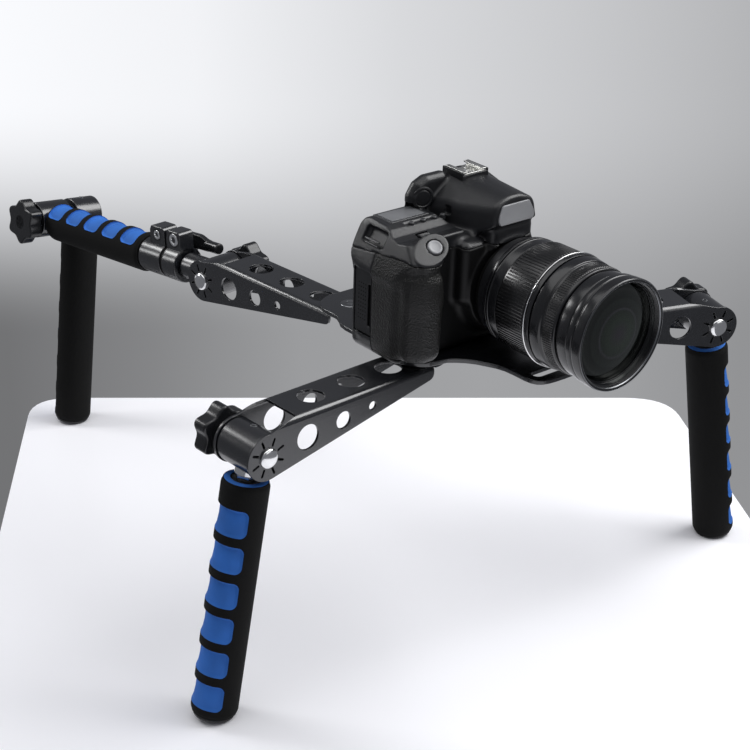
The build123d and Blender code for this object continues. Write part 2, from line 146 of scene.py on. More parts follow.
MAT = {
    "metal": node_mat("rig_metal", (0.0085, 0.0092, 0.0115), 0.0, 0.24, 0.08, 900, 0.04, 1.0),
    "tube": node_mat("rig_tube", (0.011, 0.0116, 0.0138), 0.0, 0.2, 0.05, 700, 0.03, 0.75),
    "knob": node_mat("rig_knob", (0.0095, 0.01, 0.0115), 0.0, 0.25, 0.12, 900, 0.05, 0.5),
    "steel": node_mat("rig_steel", (0.86, 0.87, 0.88), 1.0, 0.16, 0.04, 500, 0.04),
    "steel_dim": node_mat("rig_steel_dim", (0.2, 0.205, 0.215), 1.0, 0.3, 0.04, 500, 0.04),
    "foam": node_mat("rig_foam", (0.0036, 0.0036, 0.0035), 0.0, 0.85, 0.5, 900, 0.05, 0.2),
    "blue": node_mat("rig_foam_blue", (0.027, 0.14, 0.5), 0.0, 0.75, 0.35, 900, 0.05, 0.3),
    "shell": node_mat("cam_shell", (0.0082, 0.0086, 0.0102), 0.0, 0.34, 0.2, 2600, 0.04, 0.48),
    "shell_dark": node_mat("cam_shell_dark", (0.003, 0.003, 0.0033), 0.0, 0.45, 0.2, 2600, 0.04, 0.25),
    "shell_light": node_mat("cam_shell_light", (0.03, 0.031, 0.034), 0.0, 0.34, 0.12, 2600, 0.04, 0.5),
    "name_panel": node_mat("cam_blank_panel", (0.27, 0.274, 0.286), 0.0, 0.33, 0.08, 2600, 0.04, 0.5),
    "rubber": node_mat("cam_rubber", (0.0058, 0.0058, 0.0055), 0.0, 0.42, 1.0, 900, 0.04, 0.36, "voronoi"),
    "lens": node_mat("lens_body", (0.0062, 0.0065, 0.0078), 0.0, 0.2, 0.05, 1200, 0.03, 0.6),
    "lens_rib": node_mat("lens_ribs", (0.0055, 0.0055, 0.006), 0.0, 0.24, 0.06, 1500, 0.04, 0.7),
    "silver": node_mat("lens_silver", (0.85, 0.85, 0.85), 1.0, 0.16, 0.02, 500, 0.03),
    "shoe": node_mat("shoe_metal", (0.6, 0.6, 0.58), 1.0, 0.3, 0.1, 900, 0.05),
    # dark is painted shade: near-black fill put in gaps, slots, screw seats and holes where shade falls
    "dark": node_mat("painted_shade_recess", (0.003, 0.003, 0.003), 0.0, 0.6, 0.1, 900, 0.03, 0.2),
    "lcd": node_mat("lcd_face", (0.13, 0.133, 0.14), 0.0, 0.16, 0.02, 400, 0.03, 0.5),
}


# ------------------------------------------------------------------ mesh helpers
def add(name, parts, at, body, nodes=(), sharp=38.0, weighted=True):
    """parts: list of (verts, faces, material, matrix) in millimetres; one object in the row frame."""
    verts, faces, mats, idx = [], [], [], []
    for v, f, mat, m in parts:
        mm = PLACE @ at @ (m if m is not None else Matrix.Identity(4))
        a = np.array([list(r) for r in mm])
        v = np.asarray(v, float)
        w = v @ a[:3, :3].T + a[:3, 3]
        off = len(verts)
        verts.extend(w.tolist())
        if mat not in mats:
            mats.append(mat)
        mi = mats.index(mat)
        for face in f:
            faces.append([int(i) + off for i in face])
            idx.append(mi)
    me = bpy.data.meshes.new(name)
    me.from_pydata(verts, [], faces)
    for mat in mats:
        me.materials.append(MAT[mat])
    me.polygons.foreach_set("material_index", idx)
    me.update()
    bm = bmesh.new()
    bm.from_mesh(me)
    bmesh.ops.recalc_face_normals(bm, faces=bm.faces)
    lim = math.radians(sharp)
    for e in bm.edges:
        if len(e.link_faces) == 2:
            e.smooth = e.calc_face_angle(0.0) < lim
    for f in bm.faces:
        f.smooth = True
    bm.to_mesh(me)
    bm.free()
    o = bpy.data.objects.new(name, me)
    bpy.context.scene.collection.objects.link(o)
    if weighted:
        w = o.modifiers.new("w", "WEIGHTED_NORMAL")
        w.keep_sharp = True
        w.weight = 60
    if nodes:
        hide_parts(*nodes)
    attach(o, body)
    return o


def lathe(profile, n=96, radial=None):
    """Closed turned shape about Z from (r, z) points; ends on the axis where r is 0."""
    prof = [(max(r, 0.0), z) for r, z in profile]
    verts, rings = [], []
    for j, (r, z) in enumerate(prof):
        if r < 1e-6:
            rings.append([len(verts)])
            verts.append((0.0, 0.0, z))
        else:
            rings.append(list(range(len(verts), len(verts) + n)))
            for i in range(n):
                a = 2 * math.pi * i / n
                rr = r if radial is None else radial(r, a, j)
                verts.append((rr * math.cos(a), rr * math.sin(a), z))
    faces = []
    for a, b in zip(rings[:-1], rings[1:]):
        for i in range(n):
            k = (i + 1) % n
            if len(a) == 1 and len(b) > 1:
                faces.append((a[0], b[i], b[k]))
            elif len(b) == 1 and len(a) > 1:
                faces.append((a[i], a[k], b[0]))
            elif len(a) > 1 and len(b) > 1:
                faces.append((a[i], a[k], b[k], b[i]))
    return verts, faces


def soft(points, r=0.6, steps=3, closed=False):
    """Rounds the corners of a profile."""
    out = []
    n = len(points)
    for i, p in enumerate(points):
        if not closed and (i == 0 or i == n - 1):
            out.append(p)
            continue
        a, c = Vector(points[i - 1]), Vector(points[(i + 1) % n])
        b = Vector(p)
        la, lc = (a - b).length, (c - b).length
        if la < 1e-6 or lc < 1e-6:
            out.append(p)
            continue
        q = min(r, la * 0.45, lc * 0.45)
        s, e = b + (a - b) / la * q, b + (c - b) / lc * q
        for k in range(steps + 1):
            t = k / steps
            pt = s * (1 - t) ** 2 + b * 2 * t * (1 - t) + e * t ** 2
            out.append((pt.x, pt.y))
    return out


def tube_profile(r_out, r_in, z0, z1, r=0.6):
    """Closed ring section, returned as a loop that ends where it starts."""
    p = soft([(r_in, z0), (r_out, z0), (r_out, z1), (r_in, z1)], r, 3, True)
    return p + [p[0]]


def rod(r, z0, z1, bev=0.6, n=64):
    return lathe(soft([(0, z0), (r, z0), (r, z1), (0, z1)], bev), n)


def plate2d(loops, thick, bevel, z=0.0):
    """Flat plate with holes and rounded edges, centred on z."""
    cu = bpy.data.curves.new("tmp", "CURVE")
    cu.dimensions = "2D"
    cu.fill_mode = "BOTH"
    cu.extrude = thick / 2 - bevel
    cu.bevel_depth = bevel
    cu.bevel_resolution = 2
    cu.offset = -bevel
    for loop in loops:
        sp = cu.splines.new("POLY")
        sp.points.add(len(loop) - 1)
        for p, (x, y) in zip(sp.points, loop):
            p.co = (x, y, 0, 1)
        sp.use_cyclic_u = True
    o = bpy.data.objects.new("tmp", cu)
    bpy.context.scene.collection.objects.link(o)
    dg = bpy.context.evaluated_depsgraph_get()
    me = bpy.data.meshes.new_from_object(o.evaluated_get(dg))
    bm = bmesh.new()
    bm.from_mesh(me)
    bmesh.ops.remove_doubles(bm, verts=bm.verts, dist=0.001)
    bm.verts.index_update()
    v = [(a.co.x, a.co.y, a.co.z + z) for a in bm.verts]
    f = [[a.index for a in face.verts] for face in bm.faces]
    bm.free()
    bpy.data.objects.remove(o)
    bpy.data.curves.remove(cu)
    bpy.data.meshes.remove(me)
    return v, f


def slice_at(v, f, cuts):
    """Adds edge lines to a mesh at each y in cuts, so that it can bend there."""
    bm = bmesh.new()
    vs = [bm.verts.new(p) for p in v]
    for face in f:
        try:
            bm.faces.new([vs[i] for i in face])
        except ValueError:
            continue
    for c in cuts:
        geom = bm.verts[:] + bm.edges[:] + bm.faces[:]
        bmesh.ops.bisect_plane(bm, geom=geom, plane_co=(0, c, 0), plane_no=(0, 1, 0), dist=1e-4)
    bm.verts.index_update()
    out = [tuple(a.co) for a in bm.verts], [[a.index for a in face.verts] for face in bm.faces]
    bm.free()
    return out


def arc(cx, cy, r, a0, a1, n=16):
    turns = [math.radians(a0 + (a1 - a0) * i / n) for i in range(n + 1)]
    return [(cx + r * math.cos(a), cy + r * math.sin(a)) for a in turns]


def ring_pts(cx, cy, r, n=40):
    return arc(cx, cy, r, 0, 360, n)[:-1]


def bar(p0, p1, size, mat):
    """Rounded box from corner to corner."""
    lo = Vector([min(a, b) for a, b in zip(p0, p1)])
    hi = Vector([max(a, b) for a, b in zip(p0, p1)])
    d = hi - lo
    s = min(size, min(d) * 0.45)
    bm = bmesh.new()
    bmesh.ops.create_cube(bm, size=1.0)
    for v in bm.verts:
        v.co = Vector([lo[i] + (v.co[i] + 0.5) * d[i] for i in range(3)])
    bmesh.ops.bevel(bm, geom=bm.edges[:], offset=s, segments=3, profile=0.5, affect="EDGES")
    bm.verts.index_update()
    out = [tuple(v.co) for v in bm.verts], [[v.index for v in f.verts] for f in bm.faces], mat, None
    bm.free()
    return out


ALONG_Y = rot("X", -90)
ALONG_X = rot("Y", 90)

# ------------------------------------------------------------------ channel arms
WEB_FLAT = 13.7
BEND_R = 3.0
TOP = 21.1
BEND_TOP = TOP - 1 - BEND_R


def flange_v(z):
    """Where height z on a side flange falls on the unbent sheet, across the arm."""
    if z <= BEND_TOP:
        return WEB_FLAT + BEND_R * math.pi / 2 + (BEND_TOP - z)
    return WEB_FLAT + BEND_R * math.acos(min(1.0, (z - BEND_TOP) / BEND_R))


def arm_mesh(near):
    """Channel arm: one sheet cut flat, then bent down along both sides.

    near is the flange with the ring of slots.
    """
    side = [(143.0, 17.2), (142.4, 15.0), (142.0, 15.3)]
    end = ((142, 17.5), (142, 15.3), (141.4, 13.2), (140.0, 11.9), (138.0, 11.1))
    side += [(s, flange_v(z)) for s, z in end]
    side += [(3.14, flange_v(-15.69))]
    side += [(16 * math.cos(math.radians(a)), flange_v(16 * math.sin(math.radians(a))))
        for a in range(-86, -276, -6)]
    side += [(1.4, flange_v(15.9)), (8, flange_v(17.4)), (17, flange_v(19.3)), (22.5, flange_v(19.9)),
        (24.3, WEB_FLAT + 0.6)]
    tongue = arc(SWING_S, 0, 17.7, -96, 96, 40)
    outer = tongue + side + [(s, -v) for s, v in reversed(side)]
    loops = [outer]
    loops += [ring_pts(s, 0, 9.25) for s in (49, 83, 116)]
    loops += [ring_pts(SWING_S, 0, 4.05, 24)]
    for sg in (-1, 1):
        for s, z, r in ((32.2, 4.0, 8.75), (62, 6.4, 6.0), (87, 8.8, 3.0)):
            loops.append([(x, sg * flange_v(y)) for x, y in ring_pts(s, z, r)])
        loops.append([(x, sg * flange_v(y)) for x, y in ring_pts(0, 0, 4.02, 24)])
        if sg == near:
            for i in range(8):
                a = math.radians(45 * i + 22)
                e, n = (math.cos(a), math.sin(a)), (-math.sin(a), math.cos(a))
                c = [(8.3, -0.75), (12.9, -0.75), (13.6, 0), (12.9, 0.75), (8.3, 0.75), (7.7, 0)]
                loops.append([(e[0] * p + n[0] * q, sg * flange_v(e[1] * p + n[1] * q)) for p, q in c])
    v, f = plate2d(loops, 2.0, 0.3)
    arc_len = BEND_R * math.pi / 2
    cuts = [sg * (WEB_FLAT + arc_len * i / 6) for sg in (-1, 1) for i in range(7)]
    v, f = slice_at(v, f, cuts)
    out = []
    for s, u, w in v:
        a = abs(u)
        sg = 1 if u >= 0 else -1
        if s > 142.7 or a <= WEB_FLAT:
            out.append((s, u, TOP - 1 + w))
        elif a <= WEB_FLAT + arc_len:
            t, q = (a - WEB_FLAT) / BEND_R, BEND_R + w
            out.append((s, sg * (WEB_FLAT + q * math.sin(t)), BEND_TOP + q * math.cos(t)))
        else:
            out.append((s, sg * (WEB_FLAT + BEND_R + w), BEND_TOP - (a - WEB_FLAT - arc_len)))
    return out, f, "metal", None


def dome_head(r=6.75, h=3.3):
    """Domed bolt head on z = 0."""
    turns = np.linspace(0.15, math.pi / 2, 10)
    p = [(0, h)] + [(r * math.sin(t), h * (0.25 + 0.75 * math.cos(t))) for t in turns]
    p += [(r, 0.0), (0, 0.0)]
    v, f = lathe(p, 48)
    return v, f, "steel", None


def knob_mesh(inner, outer, hub_from):
    """Six-lobed star knob about Z, from inner to outer, with a hub towards the arm."""
    pts = []
    for i in range(180):
        a = 2 * math.pi * i / 180
        c = -math.cos(6 * a)
        lobe = 16.9 + 1.95 * c + 0.1 * math.cos(12 * a)
        pts.append((lobe * math.cos(a), lobe * math.sin(a)))
    th = outer - inner
    disc = plate2d([pts], th, 1.6, inner + th / 2)
    hub = rod(9.0, hub_from, inner + 1, 0.8)
    cap = rod(6.2, outer - 1, outer, 0.4)
    return [(*disc, "knob", None), (*hub, "knob", None), (*cap, "knob", None)]


for k, az in ARM_AZ.items():
    s = SIDE[k]
    nm = NAMES[k]
    add(f"arm_{k}_sheet", [arm_mesh(-s)], ARM[k], f"{nm}_arm", [f"arm_{k}"])
    head = rot("X", 90 * s)
    bolt = rod(4.0, -50.0, 0.5, 0.2, 32)
    add(f"pivot_bolt_{k}_turned", [(*dome_head()[:2], "steel", move(0, -17.75 * s, 0) @ head),
        (*bolt, "steel", move(0, -17.7 * s, 0) @ head)],
        ARM[k], f"{nm}_arm", [f"pivot_bolt_{k}"])
    add(f"knob_{k}_star", [(v, f, m, rot("X", -90 * s)) for v, f, m, _ in knob_mesh(25, 37, 18.1)], ARM[k],
        f"{nm}_knob", [f"knob_{k}"])


# ------------------------------------------------------------------ foam handles
def foam_mesh(z_top, z_end, centres, facing, length=18.6, half=67.0, depth=2.4, up=1.0):
    """Sleeve about Z with windows cut through a black skin to blue foam.

    up is the end of each groove where it is deepest. Returns the points, the faces and which faces are blue.
    """
    R = 16.0
    nz, na = int(abs(z_top - z_end) / 0.8), 176
    zz = np.linspace(z_end, z_top, nz + 1)
    ph = np.linspace(0, 2 * math.pi, na, endpoint=False)
    Z, P = np.meshgrid(zz, ph, indexing="ij")

    def sdf(z, p):
        u = (np.mod(p - math.radians(facing) + math.pi, 2 * math.pi) - math.pi) * R
        d = np.full(np.broadcast(z, p).shape, 1e9)
        hu, hz, rr = math.radians(half) * R, length / 2, 4.6
        for c in centres:
            qx, qz = np.abs(u) - hu + rr, np.abs(z - c - 0.7 * up) - hz + rr
            e = np.minimum(np.maximum(qx, qz), 0) + np.hypot(np.maximum(qx, 0), np.maximum(qz, 0)) - rr
            d = np.minimum(d, e)
        return d

    for _ in range(2):
        D = sdf(Z, P)
        face_d = 0.25 * (D[:-1] + D[1:])
        inside = (face_d + np.roll(face_d, -1, 1)) < 0
        blue_v = np.zeros_like(D, bool)
        black_v = np.zeros_like(D, bool)
        for di, dj in ((0, 0), (1, 0), (0, 1), (1, 1)):
            blue_v[di:di + inside.shape[0]] |= np.roll(inside, dj, 1)
            black_v[di:di + inside.shape[0]] |= np.roll(~inside, dj, 1)
        edge = blue_v & black_v
        h = 0.05
        gz = (sdf(Z + h, P) - sdf(Z - h, P)) / (2 * h)
        gu = (sdf(Z, P + h / R) - sdf(Z, P - h / R)) / (2 * h)
        g2 = np.maximum(gz ** 2 + gu ** 2, 0.25)
        Z = np.where(edge, Z - D * gz / g2, Z)
        P = np.where(edge, P - D * gu / g2 / R, P)
    D = sdf(Z, P)
    t = np.zeros_like(Z)
    for c in centres:
        w = np.clip((up * (c - Z)) / length + 0.5, 0, 1)
        t = np.where(np.abs(Z - c) <= length / 2 + 1.5, w, t)
    dig = depth * (1 - 0.75 * t) * np.clip(-D / 1.6, 0, 1) ** 0.7
    end = np.minimum(np.abs(Z - z_top), np.abs(Z - z_end))
    e = 4.4
    edge_round = np.where(end < e, e - np.sqrt(np.maximum(e * e - (e - end) ** 2, 0)), 0)
    RR = R - 0.15 - dig - edge_round
    verts = np.stack([RR * np.cos(P), RR * np.sin(P), Z], -1).reshape(-1, 3)
    idx = np.arange((nz + 1) * na).reshape(nz + 1, na)
    a, b = idx[:-1], idx[1:]
    quads = np.stack([a, np.roll(a, -1, 1), np.roll(b, -1, 1), b], -1)
    return verts, quads.reshape(-1, 4), inside.reshape(-1)


def add_foam(name, at, body, node, z_top, z_end, centres, facing, up):
    """Foam sleeve with a pressed ring at each end, as one welded skin in two colours."""
    v, f, flag = foam_mesh(z_top, z_end, centres, facing, up=up)
    lo, hi = min(z_top, z_end), max(z_top, z_end)
    caps = []
    for z, s in ((lo, 1), (hi, -1)):
        tint = "blue" if z == z_top else "foam"
        for mat, prof in (("foam", ((9.5, 8), (9.5, 0.4), (9.9, 0.1), (10.3, 0))),
                          (tint, ((10.3, 0), (13.0, 0), (13.9, 0.25), (14.3, 0.7))),
                          ("foam", ((14.3, 0.7), (14.5, 0.3), (14.9, 0.9), (15.0, 2.4)))):
            caps.append((*lathe([(q, z + s * h) for q, h in prof], 96), mat, None))
    o = add(name, [(v, f[~flag], "foam", None), (v, f[flag], "blue", None)] + caps, at, body, [node],
        sharp=75, weighted=False)
    bm = bmesh.new()
    bm.from_mesh(o.data)
    bmesh.ops.remove_doubles(bm, verts=bm.verts, dist=1e-6)
    for e in bm.edges:
        e.smooth = True
    bm.to_mesh(o.data)
    bm.free()


GROOVE_PITCH = 25.1
FOAM_TOP, FOAM_END = -20.6, -189.0
CENTRES = [-(47.5 + GROOVE_PITCH * i) for i in range(6)]
for k, half in (("a", 15.3), ("b", 15.3), ("d", 12.3)):
    body = {"a": "left_handle", "b": "right_handle", "d": "rear_handle"}[k]
    facing = 0 if k == "d" else 180
    barrel = lathe(soft([(0, -half), (15, -half), (15, half), (0, half)], 0.9), 96)
    neck = rod(8.2, -17.2, -8, 0.5)
    add(f"barrel_{k}_turned", [(*barrel, "metal", ALONG_Y), (*neck, "steel", None)], HANDLE[k], body,
        [f"barrel_{k}"])
    nut = plate2d([ring_pts(0, 0, 7.7, 6)], 3.4, 0.5, -18.6)
    socket = [(0, 14.4), (1.2, 14.4), (1.3, 15.3), (2.3, 15.3), (2.4, 14.0), (0, 14.0)]
    screw = lathe(soft(socket, 0.15), 32)
    add(f"handle_screws_{k}_set", [(*nut, "steel", None), (*rod(5, -28, -17, 0.2, 32), "steel", None),
        (*screw, "steel_dim", None)],
        HANDLE[k], body, [f"handle_screws_{k}"])
    prof = [(0, -21), (9.45, -21), (9.45, -186), (10.2, -188.6), (13.6, -189.0), (13.8, -190.9), (0, -191.0)]
    tube = lathe(soft(prof, 0.6), 72)
    add(f"grip_tube_{k}_turned", [(*tube, "knob", None)], HANDLE[k], body, [f"grip_tube_{k}"])
    add_foam(f"foam_grip_{k}_laminated", HANDLE[k], body, f"foam_grip_{k}", FOAM_TOP, FOAM_END,
        CENTRES, facing, 1.0)

# ------------------------------------------------------------------ rear rod, clamp, tube, tee
bc = lathe(soft([(0, -15.3), (15, -15.3), (15, 15.3), (0, 15.3)], 0.9), 96)
neck = lathe(soft([(0, 8), (10.4, 8), (10.4, 35.6), (7.5, 36), (0, 36)], 0.8), 72)
add("barrel_c_turned", [(*bc, "metal", ALONG_Y), (*neck, "metal", ALONG_X)], ROD, "rear_link", ["barrel_c"])
add("rear_rod_bar", [(*rod(7.5, 12, 200, 0.8), "tube", ALONG_X)], ROD, "rear_link", ["rear_rod"])

col = lathe(tube_profile(14.3, 7.55, 38, 54.4, 0.8), 96)
col2 = lathe(tube_profile(14.3, 7.55, 57.6, 84, 0.8), 96)
# neck2 is painted shade: a near-black ring in the slit between the two clamp collars
neck2 = lathe(tube_profile(13.2, 7.55, 54, 58, 0.2), 96)
clamp_parts = [(*col, "metal", ALONG_X), (*col2, "metal", ALONG_X), (*neck2, "dark", ALONG_X)]


def ear(x0, x1):
    """One split ear of the rod clamp, from x0 to x1 along the rod."""
    out = [(x0, 6), (x1, 6), (x1, 24.5)]
    out += arc(x1 - 3.2, 24.3, 3.2, 0, 90, 6) + arc(x0 + 3.2, 24.3, 3.2, 90, 180, 6)
    v, f = plate2d([out], 14.0, 0.8)
    return v, f, "metal", rot("X", 90)


clamp_parts += [ear(38, 54.4), ear(57.6, 75)]
clamp_parts.append((*rod(5.4, 6, 14.3, 0.6), "metal", move(61, 0, 8) @ rot("X", 90)))
add("clamp_collar_machined", clamp_parts, ROD, "clamp", ["clamp_collar"])
sc = []
for x, r in ((45.3, 5.0), (66.4, 3.7)):
    head = lathe(soft([(0, 6.4), (r * 0.5, 6.4), (r * 0.55, 7.7), (r, 7.5), (r, 6.5), (0, 6.0)], 0.25), 48)
    # seat is painted shade: a near-black ring round each screw head, in its counterbore
    seat = lathe([(r + 0.1, 6.9), (r + 1.1, 7.12), (r + 0.9, 6.0)], 48)
    sc.append((*head, "steel", move(x, 0, 20.7) @ ALONG_Y))
    sc.append((*seat, "dark", move(x, 0, 20.7) @ ALONG_Y))
sc.append((*rod(2.4, -20.5, -10, 0.4), "steel", move(61, 0, 8) @ ALONG_Y))
sc.append((*rod(4.2, -20.9, -19.9, 0.4), "steel", move(61, 0, 8) @ ALONG_Y))
add("clamp_screws_set", sc, ROD, "clamp", ["clamp_screws"])
edge = [(67, 15), (63, 19.4), (41, 20), (34, 17.4), (29, 17), (29, 8.3), (43, 8), (49, 7.4),
        (49.3, -1), (39.7, -0.6), (39.7, -4.6), (55, -7), (66, 0)]
blade = plate2d([soft(edge, 3.0, 4, True)], 5.0, 1.2)
add("clamp_lever_cast", [(*blade, "knob", move(0, -17.3, 0) @ rot("X", 90)),
    (*rod(4.4, 19, 35, 1.3), "knob", move(0, -17.3, 12.7) @ ALONG_X)],
    ROD, "lever", ["clamp_lever"])
add("rear_tube_bar", [(*lathe(tube_profile(9.45, 7.6, 84.6, 217, 0.3), 72), "tube", ALONG_X)], TEE,
    "rear_grip", ["rear_tube"])
boss = lathe(soft([(0, -20.0), (9, -20.0), (9, -15), (15, -15), (15, 15), (0, 15)], 0.9), 96)
add("tee_boss_turned", [(*boss, "metal", move(TEE_X, 0, 0) @ ALONG_Y)], TEE, "rear_grip", ["tee_boss"])
add("tee_bolt_turned", [(*dome_head()[:2], "steel", move(TEE_X, -46.5, 0) @ rot("X", 90)),
    (*rod(4, -70.6, 0.5, 0.3, 32), "steel", move(TEE_X, -46.4, 0) @ rot("X", 90))],
    TEE, "rear_grip", ["tee_bolt"])
add("knob_d_star", [(v, f, m, rot("X", -90)) for v, f, m, _ in knob_mesh(17.4, 29.4, 15.5)],
    TEE @ move(TEE_X, 0, 0), "tee_knob", ["knob_d"])
add_foam("foam_grip_h_laminated", TEE @ rot("Y", 90), "rear_grip", "foam_grip_h", 213.0, 84.5,
    [99.4 + GROOVE_PITCH * i for i in range(5)], 180, 1.0)

# ------------------------------------------------------------------ carrying plate
left = [(0, -98.2), (-8, -98.0), (-14, -97.4), (-18.5, -96.0), (-21.6, -93.6), (-23.6, -90), (-24.5, -85),
    (-24.6, -74), (-25.2, -66)]
left += [(-27, -60), (-29.5, -55.0), (-33.5, -47.4), (-37.5, -42.4), (-42.5, -37.8), (-47.5, -34.4)]
left += arc(-53.9, -12.3, 21.0, 252, 196, 12)
left += [(-71.2, 0), (-70.5, 12), (-70.5, 46), (-69.4, 52.5), (-66.0, 58.5), (-63.6, 64)]
left += arc(-42.7, 75.3, 21.0, 183, 96, 14)
outer = left + [(-x, y) for x, y in reversed(left[1:])]
slot_pts = arc(14, -86, 4, -90, 90, 10) + arc(-14, -86, 4, 90, 270, 10)
plate_loops = [outer, slot_pts, ring_pts(42.7, 75.3, 4.0, 24)]
pl = [(*plate2d(plate_loops, 3.2, 0.55, 215.35), "metal", None)]
add("base_plate_sheet", pl, move(0, 0, 0), "chassis", ["base_plate", "front_loop"])
sb = []
flat_head = [(0, 217.6), (2.4, 217.6), (2.6, 216.4), (2.7, 217.75), (6.4, 217.4), (7.0, 216.9), (0, 216.8)]
for k, (x, y) in SWING_AT.items():
    if k == "c":  # only the rear bolt has a head above the plate
        sb.append((*lathe(soft(flat_head, 0.25), 48), "steel_dim", move(x, y, 0)))
    sb.append((*rod(4.0, 206.2, 216.9, 0.4, 32), "steel_dim", move(x, y, 0)))
    sb.append((*plate2d([ring_pts(0, 0, 7.2, 6)], 4.4, 0.5, 208.6), "steel_dim", move(x, y, 0)))
add("swing_bolts_set", sb, move(0, 0, 0), "chassis", ["swing_bolts"])
add("camera_screw_turned", [(*rod(9.0, 207.8, 213.6, 0.8), "steel", None)], move(0, 0, 0), "chassis",
    ["camera_screw"])

# ------------------------------------------------------------------ lens
# Turned about its axis. Profiles are (radius, distance forward along the axis).
def ribbed(t0, t1, r, count, depth, duty=0.55):
    """Grip ring with ribs along the axis; the ends of the ribs are chamfered."""
    n = count * 8
    q = r - depth
    rows = [(q - 0.5, t0), (q, t0 + 0.1), (q, t0 + 0.6), (r, t0 + 1.3),
            (r, t1 - 1.3), (q, t1 - 0.6), (q, t1 - 0.1), (q - 0.5, t1)]

    def radial(rr, a, j):
        if j not in (3, 4):
            return rr
        x = (a / (2 * math.pi) * count) % 1.0
        e = min(1.0, max(0.0, (duty / 2 - abs(x - 0.5)) / 0.09 + 0.5))
        return rr - depth * (1 - e)

    return lathe(rows, n, radial)


def turned(points, bev=0.35):
    return lathe(soft(points, bev), 128)


lens_parts = [
    # painted shade: near-black disc in the hollow of the mount
    (*turned([(0, 40.6), (31, 40.6), (31.5, 46.6), (0, 46.6)]), "dark", None),
    (*turned([(29, 46), (34.6, 46.2), (35.0, 52.6), (29, 52.8)]), "shell", None),
    (*turned([(29, 52.9), (36.0, 53.0), (37.0, 53.7), (37.2, 56.4), (29, 56.6)], 0.3), "lens", None),
    (*turned([(29, 56.6), (36.6, 56.8), (37.3, 57.6), (37.2, 58.4), (36.9, 58.7), (36.9, 65.6),
        (29, 65.8)], 0.3), "lens", None),
    # painted shade: near-black inner sleeve, seen in the gaps between the rings
    (*turned([(29, 60), (33, 60), (33, 93), (29, 93)]), "dark", None),
    (*turned([(33, 91.9), (38.2, 92.0), (38.9, 92.6), (38.9, 93.2), (33, 93.3)], 0.3), "lens", None),
    (*turned([(33, 93.4), (39.0, 93.6), (39.38, 93.75), (39.38, 94.2), (39.0, 94.4), (33, 94.8)], 0.15),
        "silver", None),
    (*turned([(33, 94.9), (39.0, 95.0), (39.2, 95.4), (38.6, 97.9), (33, 98.0)], 0.2), "lens", None),
]
add("lens_barrel_turned", lens_parts, LENS, "chassis", ["lens_barrel"], sharp=40, weighted=False)
zr = [(*ribbed(66.5, 91.5, 38.15, 106, 0.85, 0.5), "lens_rib", None),
      (*turned([(33.2, 66.3), (37.7, 66.4), (37.7, 91.5), (33.2, 91.6)]), "lens_rib", None)]
add("zoom_ring_ribbed", zr, LENS, "zoom", ["zoom_ring"], sharp=30, weighted=False)
nose_parts = [
    # painted shade: near-black inner sleeve of the front barrel, seen in its gaps
    (*turned([(26, 62), (29, 62), (29, 98.2), (26, 98.2)]), "dark", None),
    (*turned([(26, 98.2), (33.8, 98.3), (33.8, 119.4), (35.3, 119.8), (35.5, 121.0), (35.9, 121.4),
              (36.1, 128.6), (35.4, 129.4), (26, 129.5)], 0.4), "lens", None),
]
retainer = [(35.0, 136.6), (33.4, 136.7), (33.2, 135.7), (35.0, 135.4)]
nose_parts.append((*turned(retainer, 0.15), "lens", None))
add("front_barrel_turned", nose_parts, LENS, "nose", ["front_barrel"], sharp=40, weighted=False)
fr = [(*ribbed(108.0, 117.4, 37.0, 140, 0.6), "lens_rib", None),
      (*turned([(34.1, 99.1), (38.5, 99.2), (38.2, 102.0), (37.6, 106.2), (36.4, 106.8), (36.4, 118.4),
          (35.6, 118.9), (34.1, 119)], 0.4), "lens", None)]
add("focus_ring_ribbed", fr, LENS, "focus", ["focus_ring"], sharp=30, weighted=False)
rim = [
    (*turned([(31, 129.7), (36.6, 129.8), (37.3, 130.4), (37.4, 134.0), (36.9, 134.4), (36.9, 135.0),
              (37.6, 135.5), (37.9, 136.4), (37.95, 142.2), (37.5, 143.1), (36.4, 143.15), (35.4, 142.5),
              (35.1, 142.0), (34.9, 138.6), (34.2, 136.6), (33.2, 134.4), (31, 129.7)], 0.35), "lens", None),
]
for i in range(4):
    t = 141.4 - 0.8 * i
    rim.append((*turned([(35.1, t + 0.25), (34.7, t), (35.1, t - 0.25)], 0.05), "lens", None))
for prof in ([(36.9, 142.9), (37.15, 143.2), (37.5, 143.05), (37.2, 142.7)],
             [(35.2, 142.2), (35.5, 142.75), (35.9, 142.9), (35.6, 142.2)]):
    rim.append((*turned(prof, 0.05), "steel_dim", None))
add("filter_ring_turned", rim, LENS, "nose", ["filter_ring"], sharp=40, weighted=False)


